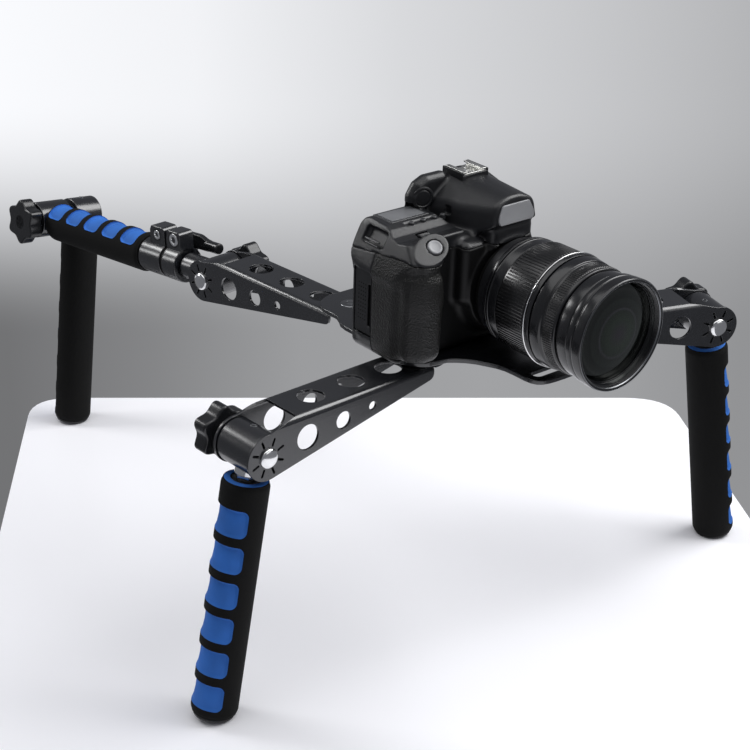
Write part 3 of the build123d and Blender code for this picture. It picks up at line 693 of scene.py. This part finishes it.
def glass_mat():
    """Dark coated front element: painted reflections and painted shade of the deeper elements, as light and
    dark rings by distance from the axis.
    """
    m = bpy.data.materials.new("coated_glass")
    m.use_nodes = True
    nt = m.node_tree
    b = put(nt.nodes["Principled BSDF"], Roughness=0.03, Specular_IOR_Level=0.5, Coat_Weight=0.3,
            Coat_Roughness=0.02, Coat_Tint=(0.8, 1.0, 0.85, 1))
    co = nt.nodes.new("ShaderNodeTexCoord")
    flat_ = nt.nodes.new("ShaderNodeVectorMath")
    flat_.operation = "MULTIPLY_ADD"
    flat_.inputs[1].default_value = (2, 0, 2)
    flat_.inputs[2].default_value = (-1, 0, -1)
    far_ = nt.nodes.new("ShaderNodeVectorMath")
    far_.operation = "LENGTH"
    ramp = nt.nodes.new("ShaderNodeValToRGB")
    # the lighter rings are painted reflections of the inner elements, the darkest rings painted shade
    fill_ramp(ramp, [
        (0.0, (0.016, 0.011, 0.018)), (0.3, (0.011, 0.015, 0.011)), (0.46, (0.007, 0.009, 0.007)),
        (0.5, (0.022, 0.02, 0.025)), (0.53, (0.005, 0.005, 0.005)), (0.68, (0.007, 0.008, 0.0075)),
        (0.72, (0.0015, 0.0015, 0.0015)), (0.84, (0.008, 0.008, 0.008)), (0.88, (0.02, 0.02, 0.02)),
        (0.91, (0.002, 0.002, 0.002)), (1.0, (0.001, 0.001, 0.001))])
    nt.links.new(co.outputs["Generated"], flat_.inputs[0])
    nt.links.new(flat_.outputs["Vector"], far_.inputs[0])
    nt.links.new(far_.outputs["Value"], ramp.inputs["Fac"])
    nt.links.new(ramp.outputs["Color"], b.inputs["Base Color"])
    return m


MAT["glass"] = glass_mat()
GLASS_R, GLASS_TOP = 33.0, 140.4
dome = [(0.0, GLASS_TOP)] + [(r, GLASS_TOP - 4.8 * (r / GLASS_R) ** 2) for r in np.linspace(2, GLASS_R, 18)]
dome += [(GLASS_R, 131.5), (0, 129.7)]
add("lens_glass_front", [(*lathe(dome, 128), "glass", None)], LENS, "nose", ["lens_glass"], sharp=60,
    weighted=False)

# ------------------------------------------------------------------ camera body, modelled as blended solids
def smin(a, b, k):
    h = np.clip(0.5 + 0.5 * (b - a) / k, 0, 1)
    return b * (1 - h) + a * h - k * h * (1 - h)


def smax(a, b, k):
    return -smin(-a, -b, k)


def poly2(x, y, pts):
    """Signed distance to a polygon, negative inside."""
    d = np.full(x.shape, 1e18)
    s = np.ones(x.shape)
    n = len(pts)
    for i in range(n):
        ax, ay = pts[i]
        bx, by = pts[i - 1]
        ex, ey = bx - ax, by - ay
        wx, wy = x - ax, y - ay
        t = np.clip((wx * ex + wy * ey) / (ex * ex + ey * ey), 0, 1)
        px, py = wx - ex * t, wy - ey * t
        d = np.minimum(d, px * px + py * py)
        c1, c2, c3 = y >= ay, y < by, ex * wy > ey * wx
        flip = (c1 & c2 & c3) | (~c1 & ~c2 & ~c3)
        s = np.where(flip, -s, s)
    return s * np.sqrt(d)


def rbox(x, y, z, c, h, r):
    """Signed distance to a box about c with half sizes h and edges rounded by r."""
    a, b, d = np.abs(x - c[0]) - h[0] + r, np.abs(y - c[1]) - h[1] + r, np.abs(z - c[2]) - h[2] + r
    out = np.sqrt(np.maximum(a, 0) ** 2 + np.maximum(b, 0) ** 2 + np.maximum(d, 0) ** 2)
    return np.minimum(np.maximum(np.maximum(a, b), d), 0) + out - r


def plane(x, y, z, p, n):
    """Signed distance to the plane through p, positive on the side n points to."""
    n = np.array(n, float) / np.linalg.norm(n)
    return (x - p[0]) * n[0] + (y - p[1]) * n[1] + (z - p[2]) * n[2]


def surface(f, lo, hi, h):
    """Smooth quad mesh of f = 0 inside the box, vertices drawn onto the surface."""
    ax = [np.arange(lo[i], hi[i] + h, h) for i in range(3)]
    X, Y, Z = np.meshgrid(*ax, indexing="ij")
    F = f(X, Y, Z)
    S = F < 0
    c = np.zeros(tuple(n - 1 for n in F.shape), np.int8)
    for i in (0, 1):
        for j in (0, 1):
            for k in (0, 1):
                c += S[i:i + c.shape[0], j:j + c.shape[1], k:k + c.shape[2]]
    cell = (c > 0) & (c < 8)
    ids = -np.ones(c.shape, np.int64)
    ids[cell] = np.arange(cell.sum())
    ci = np.argwhere(cell)
    P = np.zeros((len(ci), 3))
    W = np.zeros(len(ci))
    corners = [(i, j, k) for i in (0, 1) for j in (0, 1) for k in (0, 1)]
    vals = {q: F[ci[:, 0] + q[0], ci[:, 1] + q[1], ci[:, 2] + q[2]] for q in corners}
    for a in corners:
        for axis in range(3):
            if a[axis]:
                continue
            b = list(a)
            b[axis] = 1
            va, vb = vals[a], vals[tuple(b)]
            m = (va < 0) != (vb < 0)
            t = np.where(m, va / np.where(m, va - vb, 1), 0)
            q = np.array(a, float)[None, :] + np.eye(3)[axis][None, :] * t[:, None]
            P += q * m[:, None]
            W += m
    P = (ci + P / W[:, None]) * h + np.array(lo)
    quads = []
    for axis in range(3):
        u, v = (axis + 1) % 3, (axis + 2) % 3
        a = S[tuple(slice(0, -1) if q == axis else slice(None) for q in range(3))]
        b = S[tuple(slice(1, None) if q == axis else slice(None) for q in range(3))]
        ed = np.argwhere(a != b)
        keep = (ed[:, u] > 0) & (ed[:, v] > 0) & (ed[:, u] < c.shape[u]) & (ed[:, v] < c.shape[v])
        ed = ed[keep]
        flip = a[tuple(ed.T)]
        q = []
        for du, dv in ((-1, -1), (0, -1), (0, 0), (-1, 0)):
            e = ed.copy()
            e[:, u] += du
            e[:, v] += dv
            q.append(ids[tuple(e.T)])
        q = np.stack(q, 1)
        q[~flip] = q[~flip][:, ::-1]
        quads.append(q)
    Q = np.concatenate(quads)
    Q = Q[(Q >= 0).all(1)]
    e = 0.02
    for _ in range(3):
        d = f(*P.T)
        g = np.stack([f(P[:, 0] + e, P[:, 1], P[:, 2]) - f(P[:, 0] - e, P[:, 1], P[:, 2]),
                      f(P[:, 0], P[:, 1] + e, P[:, 2]) - f(P[:, 0], P[:, 1] - e, P[:, 2]),
                      f(P[:, 0], P[:, 1], P[:, 2] + e) - f(P[:, 0], P[:, 1], P[:, 2] - e)], 1) / (2 * e)
        step = d[:, None] * g / np.maximum((g ** 2).sum(1), 0.3)[:, None]
        ln = np.linalg.norm(step, axis=1, keepdims=True)
        P = P - step * np.minimum(1, 0.4 * h / np.maximum(ln, 1e-9))
    return P, Q


PLAN = [(-81, -14), (-81, -21), (18, -21), (30, -13.5), (39, -6), (39, 11), (36, 16), (-81, 16)]
GRIP = [(-78, 8), (-78, -32), (-74, -36.2), (-69, -36.2), (-65.6, -28), (-65.4, 8)]
PAD_AT = (-64.2, -35.0, 83.3)
PAD_TURN = rot("Y", -12) @ rot("X", 38)
PAD_U, PAD_V, PAD_W = [np.array(PAD_TURN.to_3x3().col[i]) for i in range(3)]


def along(x, y, z, p, n):
    """Distance from p measured along n, which has unit length."""
    return (x - p[0]) * n[0] + (y - p[1]) * n[1] + (z - p[2]) * n[2]


def cushion(d2, w, half, r):
    """2-D distance d2 swept along w, every edge rounded by r."""
    b = np.abs(w) - half + r
    return np.minimum(np.maximum(d2, b), 0) + np.hypot(np.maximum(d2, 0), np.maximum(b, 0)) - r


def deck_top(x, y):
    """Height of the top cover, with its dip behind the shutter button."""
    z = np.interp(y, [-46, -38, -31, -24, -18, -12, -6, -1, 22],
        [86.5, 87.0, 86.8, 85.2, 84.3, 85.6, 89.0, 90.4, 91.2])
    left_cut = 91.0 - 1.1 * np.maximum(-76 - x, 0) - 0.07 * np.maximum(-76 - x, 0) ** 2
    right = 82.0 + 9.0 * np.clip((-28 - x) / 8.0, 0, 1)
    return np.minimum(np.minimum(z, left_cut), right)


def end_bulge(z):
    """How far the grip-side wall swells at each height."""
    return np.interp(z, [0, 20, 55, 62, 70, 76, 83, 88, 95],
        [-0.5, 0.0, 0.0, 1.4, 3.8, 2.4, -1.6, -5.0, -8.0])


def body_sdf(x, y, z):
    """The whole camera body: hull, foot, hand grip, shutter pad, lens mount, hump and side dome."""
    b = end_bulge(z) * np.clip((-70 - x) / 14.0, 0, 1) * np.clip((y + 36) / 14.0, 0, 1)
    xs = x + b
    hull = cushion(poly2(xs, y, PLAN), z - 46.2, 45.0, 6.0)
    foot = rbox(x, y, z, (-4, -3, 4.2), (36, 18, 4.0), 1.5)
    waist = 2.4 * np.exp(-((z - 69.5) / 4.5) ** 2) * np.clip((-26 - y) / 6.0, 0, 1)
    belly = 0.9 * np.exp(-((z - 50) / 9.0) ** 2) * np.clip((-30 - y) / 6.0, 0, 1)
    grip = cushion(poly2(xs, y, GRIP), z - 50.5, 45.0, 9.0) + waist - belly
    front, high = np.clip((-28 - y) / 5.0, 0, 1), np.clip((z - 30) / 25.0, 0, 1)
    grip = grip + 0.9 * np.exp(-((x + 78) / 4.0) ** 2) * front * high
    d = smin(smin(hull, foot, 2.0), grip, 5.0)
    d = smax(d, (z - deck_top(x, y)) * 0.9, 2.5)
    slope = along(x, y, z, PAD_AT, PAD_W) - 1.6 * np.maximum(x + 52, 0)
    d = smax(d, slope, 2.0)
    u, v = (along(x, y, z, (-67.6, -35.3, 82.5), n) for n in (PAD_U, PAD_V))
    w = along(x, y, z, PAD_AT, PAD_W)
    d = smin(d, cushion(np.hypot(u / 1.42, v - 0.12 * u) - 9.6, w + 0.6, 1.4, 0.7), 0.8)
    ring = np.hypot(x, z - AXIS_Z) - 35.6 + 0.18 * np.maximum(-y - 27, 0)
    mount = smax(smax(ring, -41.0 - y, 1.5), y + 20.0, 1.0)
    yoke = rbox(x, y, z, (0, -32, 66), (18.6, 8.8, 22.5), 5)
    side = rbox(x, y, z, (-29, -28.5, 58), (10.5, 9.0, 22), 6)
    d = smin(d, smin(smin(mount, yoke, 5.0), side, 3.0), 5.0)
    hx = np.abs(x)
    hm = smax(plane(hx, y, z, (15.5, -41, 103), (0.62, -0.06, 0.78)),
        plane(hx, y, z, (18.4, -41, 94), (1.0, -0.24, 0.14)), 3.0)
    hm = smax(hm, plane(x, y, z, (0, 12, 109.9), (0, -0.055, 1)), 6.0)
    hm = smax(hm, plane(x, y, z, (0, -42.0, 92), (0, -1, 0.13)), 3.0)
    hm = smax(smax(hm, y - 20.5, 3.0), 70 - z, 1.0)
    hm = smax(hm, plane(x, y, z, (0, -41, 88.5), (0, -0.55, -1)), 1.5)
    d = smin(d, hm, 3.0)
    back = [(-41, 70), (-41, 98), (-37, 104), (-31, 106.6), (-18, 106.6), (-14, 104), (12, 104), (24, 98),
            (32, 92), (34, 70)]
    dome = cushion(poly2(x, z, back), y - 15.0, 5.2, 5.0)
    d = smin(d, dome, 2.0)
    return d


def seam_z(x, y):
    """Height of the seam between the top cover and the shells."""
    rise = np.clip((x + 40) / 60, 0, 1) * 3.0
    return np.interp(y, [-46, -40, -31, -5, 22], [73.6, 75.2, 76.4, 74.3, 71.0]) + rise


LUG_N, LUG_T = (-0.84, 0.0, 0.54), (0.54, 0.0, 0.84)


def part_sdf(which):
    """One shell of the body, cut along the seams and round its fittings."""
    def f(x, y, z):
        d = body_sdf(x, y, z)
        s = (z - seam_z(x, y)) * 0.98
        rub = np.maximum(np.maximum(y + 2.6, x + 56.6), np.maximum(s + 0.25, 6.4 - z))
        if which == "top":
            d = smax(d, -s + 0.12, 0.5)
            d = np.maximum(d, -rbox(x, y, z, (-55.3, 9.2, 92.4), (16.2, 9.9, 2.6), 1.0))
            d = np.maximum(d, -rbox(x, y, z, (-45, -5.3, 92.0), (19.0, 2.9, 3.1), 1.2))
            at = (-83.0, 3.6, 83.4)
            n, t = along(x, y, z, at, LUG_N), along(x, y, z, at, LUG_T)
            lug = rbox(n, y - at[1], t, (0, 0, 0), (5.0, 10.4, 6.0), 2.4)
            d = smax(d, -lug, 0.8)
            u, v, w = (along(x, y, z, PAD_AT, n) for n in (PAD_U, PAD_V, PAD_W))
            hole = np.maximum(np.hypot(u, v) - 5.75, np.abs(w) - 3.6)
            d = smax(d, -hole, 0.5)
            well = np.maximum(np.hypot(y + 18, z - 79) - 7.5, np.abs(x + 57.5) - 5.0)
            d = smax(d, -well, 0.5)
        elif which == "grip":
            d = smax(d - 0.1, rub, 0.8)
        else:
            d = smax(d, s + 0.12, 0.5)
            d = np.maximum(d, -smax(-1.2 - d, rub - 0.25, 0.4))
            split = y + 3.0
            if which == "front":
                d = smax(d, split + 0.1, 0.6)
                bore = smax(np.hypot(x, z - AXIS_Z) - 33.4, y + 38.5, 0.6)
                d = smax(d, -bore, 0.8)
            else:
                d = smax(d, -split + 0.1, 0.6)
                door = rbox(x, y, z, (-88, 7.55, 37), (4.8, 9.25, 23.3), 1.0)
                d = np.maximum(d, -door)
        return d
    return f


def add_sdf(name, which, mat, node, lo, hi):
    v, f = surface(part_sdf(which), lo, hi, STEP)
    add(name, [(v, f, mat, None)], CAM, "chassis", [node], sharp=50)


STEP = 0.85
add_sdf("camera_top_cover", "top", "shell", "camera_top", (-95, -50, 66), (50, 26, 116))
add_sdf("camera_front_shell", "front", "shell_dark", "camera_front", (-95, -50, -3), (50, 0, 88))
add_sdf("camera_back_shell", "back", "shell", "camera_back", (-95, -6, -3), (50, 32, 82))
add_sdf("hand_grip_rubber", "grip", "rubber", "hand_grip", (-95, -50, 2), (-50, 2, 78))

# ------------------------------------------------------------------ camera fittings
HZ = 109.5
shoe = [bar((-10, -0.7, HZ - 1.5), (10, 18.3, HZ + 0.7), 0.3, "shoe")]
for sx in (-1, 1):
    shoe.append(bar((sx * 8.9, -0.7, HZ), (sx * 10, 18.3, HZ + 3.7), 0.25, "shoe"))
    shoe.append(bar((sx * 6.4, -0.7, HZ + 2.7), (sx * 10, 18.3, HZ + 3.75), 0.3, "shoe"))
shoe.append(bar((-9, -0.6, HZ), (9, 0.5, HZ + 2.4), 0.25, "shoe"))
shoe.append((*rod(1.4, HZ + 0.5, HZ + 1.2, 0.2, 24), "silver", move(0, 9, 0)))
for x, y in ((-3.2, 13), (3.2, 13), (3.2, 5.5)):
    shoe.append((*rod(0.8, HZ + 0.5, HZ + 1.1, 0.15, 20), "silver", move(x, y, 0)))
for sx in (-1, 1):
    shoe.append(bar((sx * 10.05, -1.2, 103), (sx * 11.6, 19.4, HZ + 3.4), 0.5, "shell"))
shoe.append(bar((-11.0, -1.0, 103), (11.0, 19.2, HZ - 0.2), 0.6, "shell"))
shoe.append(bar((-11.4, -1.4, 103), (11.4, -0.7, HZ + 1.6), 0.3, "shell"))
add("hot_shoe_rails", shoe, CAM, "chassis", ["hot_shoe"])
add("top_lcd_window", [bar((-71.4, -0.4, 89.0), (-39.1, 19.0, 90.9), 0.5, "shell_light"),
    bar((-69.2, 1.6, 90.0), (-41.4, 17.0, 91.1), 0.15, "lcd")],
    CAM, "chassis", ["top_lcd"])
for i, x in enumerate((-58.5, -48.5, -39.0, -31.5)):
    v, f = lathe(soft([(0, 90.6), (1.5, 90.5), (2.0, 89.9), (2.05, 86.8), (0, 86.8)], 0.3), 32)
    add(f"top_button_{i + 1}_cap", [(v, f, "shell_light", move(x, -5, 0))], CAM, f"button_{i + 1}",
        [f"top_button_{i + 1}"])
cap = [(0, 1.3), (2.6, 1.4), (4.2, 1.75), (4.9, 1.5), (5.15, 0.6), (5.15, -1.8), (0, -1.8)]
v, f = lathe(soft(cap, 0.35), 64)
add("shutter_button_cap", [(v, f, "name_panel", move(*PAD_AT) @ PAD_TURN)], CAM, "shutter",
    ["shutter_button"])
panel = [(-11.8, 103.2), (11.8, 103.2), (15.6, 95.5), (15.6, 92.0), (14.2, 90.0), (-14.2, 90.0),
    (-15.6, 92.0), (-15.6, 95.5)]
add("blank_name_panel", [(*plate2d([soft(panel, 1.6, 4, True)], 1.6, 0.5), "name_panel",
    move(0, -42.2 + 0.13 * -92, 0) @ rot("X", 90 - 7.4))], CAM, "chassis")
dial_ring = [(0, -2.0), (7.6, -2.0), (7.6, 0.6), (6.2, 1.0), (5.6, 0.3), (4.8, 0.9), (0, 1.1)]
dial_at = move(-36.5, 9.6, 98.0) @ rot("Z", -18) @ rot("X", 90)
add("diopter_dial", [(*lathe(soft(dial_ring, 0.3), 64), "shell", dial_at)], CAM, "chassis")
ridged = ribbed(-4.5, 4.5, 6.95, 28, 0.5)
add("main_dial_ridged", [(*ridged, "shell", None),
    (*turned([(0, -4.5), (6.4, -4.4), (6.4, 4.4), (0, 4.5)]), "shell", None)],
    CAM @ move(-57.5, -18, 79.0) @ ALONG_X, "dial", ["main_dial"])
add("mode_dial_ridged", [(*ribbed(84.6, 89.2, 7.9, 30, 0.4), "shell", None),
    (*turned([(0, 84.6), (7.4, 84.7), (7.4, 89.1), (6.6, 89.5), (0, 89.4)]), "shell", None)],
    CAM @ move(37, 5, 0), "mode", ["mode_dial"])
door_face = Matrix(((0, 0, 1, -85.3), (1, 0, 0, 0), (0, 1, 0, 0), (0, 0, 0, 1)))
door_edge = soft([(-0.8, 14.2), (16.3, 14.2), (16.3, 59.8), (-0.8, 59.8)], 1.2, 4, True)
door_slot = soft([(0.4, 20.5), (3.2, 20.5), (3.2, 50.5), (0.4, 50.5)], 0.6, 3, True)
# the dark bar is painted shade in the door's slot, and the dark dots are painted shade in its small holes
dr = [(*plate2d([door_edge, door_slot], 2.6, 0.45), "shell", door_face),
    bar((-84.9, 0.0, 20), (-84.3, 3.6, 51), 0.2, "dark")]
for i in range(10):
    for j in range(4):
        at = move(-86.6, 5.6 + 2.3 * j, 24 + 2.8 * i)
        dr.append((*rod(0.5, -0.1, 0.12, 0.05, 12), "dark", at @ rot("Y", -90)))
add("card_door_panel", dr, CAM, "door", ["card_door"])
wh = turned([(0, 22.6), (13.6, 22.7), (13.9, 24.0), (13.0, 24.7), (8.0, 24.5), (7.4, 24.0),
    (6.8, 24.6), (0, 24.7)])
add("rear_wheel_turned", [(*wh, "shell", move(-58, 0, 36) @ ALONG_Y)], CAM, "wheel", ["rear_wheel"])
add("rear_screen_glass", [bar((-35.8, 21, 18.2), (23.8, 23.1, 63.8), 0.6, "lcd")], CAM, "chassis",
    ["rear_screen"])
cup_o = [(-15.8, 84.2), (15.8, 84.2), (15.8, 103.8), (-15.8, 103.8)]
cup_i = [(-10, 88), (10, 88), (10, 100), (-10, 100)]
cup = plate2d([soft(cup_o, 4, 5, True), soft(cup_i, 2, 4, True)], 6.0, 1.4)
add("eyecup_rubber", [(*cup, "rubber", move(0, 23.9, 0) @ rot("X", 90))], CAM, "chassis", ["eyecup"])
lugbar = [(*rod(0.8, -3.6, 10.6, 0.4, 20), "metal", move(-84.0, 0, 80.6) @ ALONG_Y),
          (*rod(0.6, -3.0, 10.0, 0.3, 20), "metal", move(-84.8, 0, 78.0) @ ALONG_Y)]
add("strap_lug", lugbar, CAM, "chassis")

# ------------------------------------------------------------------ table, backdrop, light, camera
def quad_obj(name, verts, faces, mat):
    me = bpy.data.meshes.new(name)
    me.from_pydata(verts, [], faces)
    me.materials.append(mat)
    o = bpy.data.objects.new(name, me)
    bpy.context.scene.collection.objects.link(o)
    return o


table_mat = node_mat("pale_table", (0.95, 0.95, 0.985), 0.0, 0.3, 0.02, 20, 0.02, 0.3, mottle=0.0)
TABLE_CORNERS = [(-0.868, -0.8), (-0.534, -1.496), (0.3925, -0.0169), (-0.0663, 0.3566)]
TABLE_THICK = 0.03
pts = soft(TABLE_CORNERS, 0.04, 8, True)
n = len(pts)
top = [(x, y, 0.0) for x, y in pts] + [(x, y, -TABLE_THICK) for x, y in pts]
sides = [[i, i + n, (i + 1) % n + n, (i + 1) % n] for i in range(n)]
quad_obj("table_top", top, [list(range(n))] + sides, table_mat)

# Grey of the wall from its left side (0) to its right side (1), at the top and at the bottom.
WALL_GREYS_HIGH = ((0, 0.97), (0.27, 0.9), (0.53, 0.7), (0.8, 0.56), (1, 0.45))
WALL_GREYS_LOW = ((0, 0.17), (0.2, 0.235), (0.4, 0.33), (0.65, 0.36), (0.85, 0.34), (1, 0.29))


def backdrop_mat():
    """Studio wall that glows by itself: two left-to-right ramps blended by height."""
    m = bpy.data.materials.new("backdrop_grey")
    m.use_nodes = True
    nt = m.node_tree
    b = put(nt.nodes["Principled BSDF"], Base_Color=(0, 0, 0, 1), Roughness=1.0, Specular_IOR_Level=0.0,
            Emission_Strength=1.0)
    co = nt.nodes.new("ShaderNodeTexCoord")
    sep = nt.nodes.new("ShaderNodeSeparateXYZ")
    nt.links.new(co.outputs["Object"], sep.inputs["Vector"])
    across = put(nt.nodes.new("ShaderNodeMapRange"), From_Min=-WALL_W / 2, From_Max=WALL_W / 2)
    nt.links.new(sep.outputs["X"], across.inputs["Value"])
    rows = []
    for stops in (WALL_GREYS_HIGH, WALL_GREYS_LOW):
        ramp = nt.nodes.new("ShaderNodeValToRGB")
        fill_ramp(ramp, [(p, (g * 0.99, g, g * 1.03)) for p, g in stops])
        nt.links.new(across.outputs["Result"], ramp.inputs["Fac"])
        rows.append(ramp)
    rise = put(nt.nodes.new("ShaderNodeMapRange"), From_Min=WALL_LOW, From_Max=WALL_HIGH)
    rise.interpolation_type = "SMOOTHSTEP"
    nt.links.new(sep.outputs["Y"], rise.inputs["Value"])
    mix = nt.nodes.new("ShaderNodeMix")
    mix.data_type = "RGBA"
    nt.links.new(rise.outputs["Result"], mix.inputs[0])
    nt.links.new(rows[1].outputs["Color"], mix.inputs[6])
    nt.links.new(rows[0].outputs["Color"], mix.inputs[7])
    nt.links.new(mix.outputs[2], b.inputs["Emission Color"])
    return m


EYE_RIG = (-759.3, -803.7, 710.7)
SENSOR, FOCAL = 36.0, 83.52
cam_az, cam_el, cam_roll = math.radians(-39.4), math.radians(23.5), math.radians(0.08)
fwd = Vector((-math.sin(cam_az) * math.cos(cam_el), math.cos(cam_az) * math.cos(cam_el), -math.sin(cam_el)))
right = Vector((math.cos(cam_az), math.sin(cam_az), 0))
up = right.cross(fwd)
r2 = right * math.cos(cam_roll) + up * math.sin(cam_roll)
u2 = up * math.cos(cam_roll) - right * math.sin(cam_roll)
world_from_rig = rot("X", 2.89) @ rot("Y", -0.21)
basis = Matrix((r2, u2, -fwd)).transposed().to_4x4()
cam_rig = world_from_rig.inverted() @ basis
eye = PLACE @ Vector(EYE_RIG)
cd = bpy.data.cameras.new("photo_view")
cd.lens = FOCAL
cd.sensor_width = SENSOR
cd.clip_start = 0.05
cam_obj = bpy.data.objects.new("photo_view", cd)
cam_obj.matrix_world = Matrix.Translation(eye) @ (stance @ cam_rig)
bpy.context.scene.collection.objects.link(cam_obj)
bpy.context.scene.camera = cam_obj

heading = (stance @ cam_rig @ Vector((0, 0, -1))).normalized()
flat = Vector((heading.x, heading.y, 0)).normalized()
side = Vector((flat.y, -flat.x, 0))
WALL_AWAY = 2.4


def on_wall(u, v):
    """Height and sideways place on the wall seen at a fraction of the picture."""
    ray = stance @ cam_rig @ Vector(((u - 0.5) * SENSOR / cd.lens, (0.5 - v) * SENSOR / cd.lens, -1.0))
    t = (WALL_AWAY - eye.dot(flat)) / ray.dot(flat)
    hit = eye + ray * t
    return hit.dot(side), hit.z


left_x, right_x = on_wall(0.0, 0.35)[0], on_wall(1.0, 0.35)[0]
WALL_W = right_x - left_x
mid_x = (left_x + right_x) / 2
WALL_LOW, WALL_HIGH, WALL_TOP = on_wall(0.5, 0.45)[1], on_wall(0.5, 0.13)[1], on_wall(0.5, -0.04)[1]
WALL_FOOT = WALL_LOW - 2.5
wall_corners = [(-5, WALL_FOOT, 0), (5, WALL_FOOT, 0), (5, WALL_TOP, 0), (-5, WALL_TOP, 0)]
wall = quad_obj("backdrop", wall_corners, [[0, 1, 2, 3]], backdrop_mat())
wall_turn = Matrix((side, Vector((0, 0, 1)), -flat)).transposed().to_4x4()
wall.matrix_world = Matrix.Translation(flat * WALL_AWAY + side * mid_x) @ wall_turn
centre = Vector((0, 0, 0.15))


def area(name, away, right, height, size, power):
    """Soft box aimed at the rig's middle, from so far behind it, to its right and above it."""
    ld = bpy.data.lights.new(name, "AREA")
    ld.shape = "RECTANGLE"
    ld.size, ld.size_y = size
    ld.energy = power
    o = bpy.data.objects.new(name, ld)
    o.location = centre + flat * away + side * right + Vector((0, 0, height))
    o.rotation_euler = (centre - o.location).to_track_quat("-Z", "Y").to_euler()
    bpy.context.scene.collection.objects.link(o)


area("key", 0.4, -1.2, 0.95, (0.5, 0.28), 6)
area("strip", 0.17, -1.35, 0.42, (0.3, 0.22), 1.5)
area("rim", 0.1, 1.1, 1.1, (1.2, 0.9), 20)
area("top", -0.3, 0.0, 1.7, (2.2, 1.9), 17)
area("fill", -1.2, 1.5, 0.9, (1.2, 0.9), 3)
wd = bpy.data.worlds.new("studio")
bpy.context.scene.world = wd
wd.use_nodes = True
put(wd.node_tree.nodes["Background"], Color=(0.9, 0.92, 1.0, 1), Strength=0.2)
bpy.context.scene.view_settings.view_transform = "Standard"
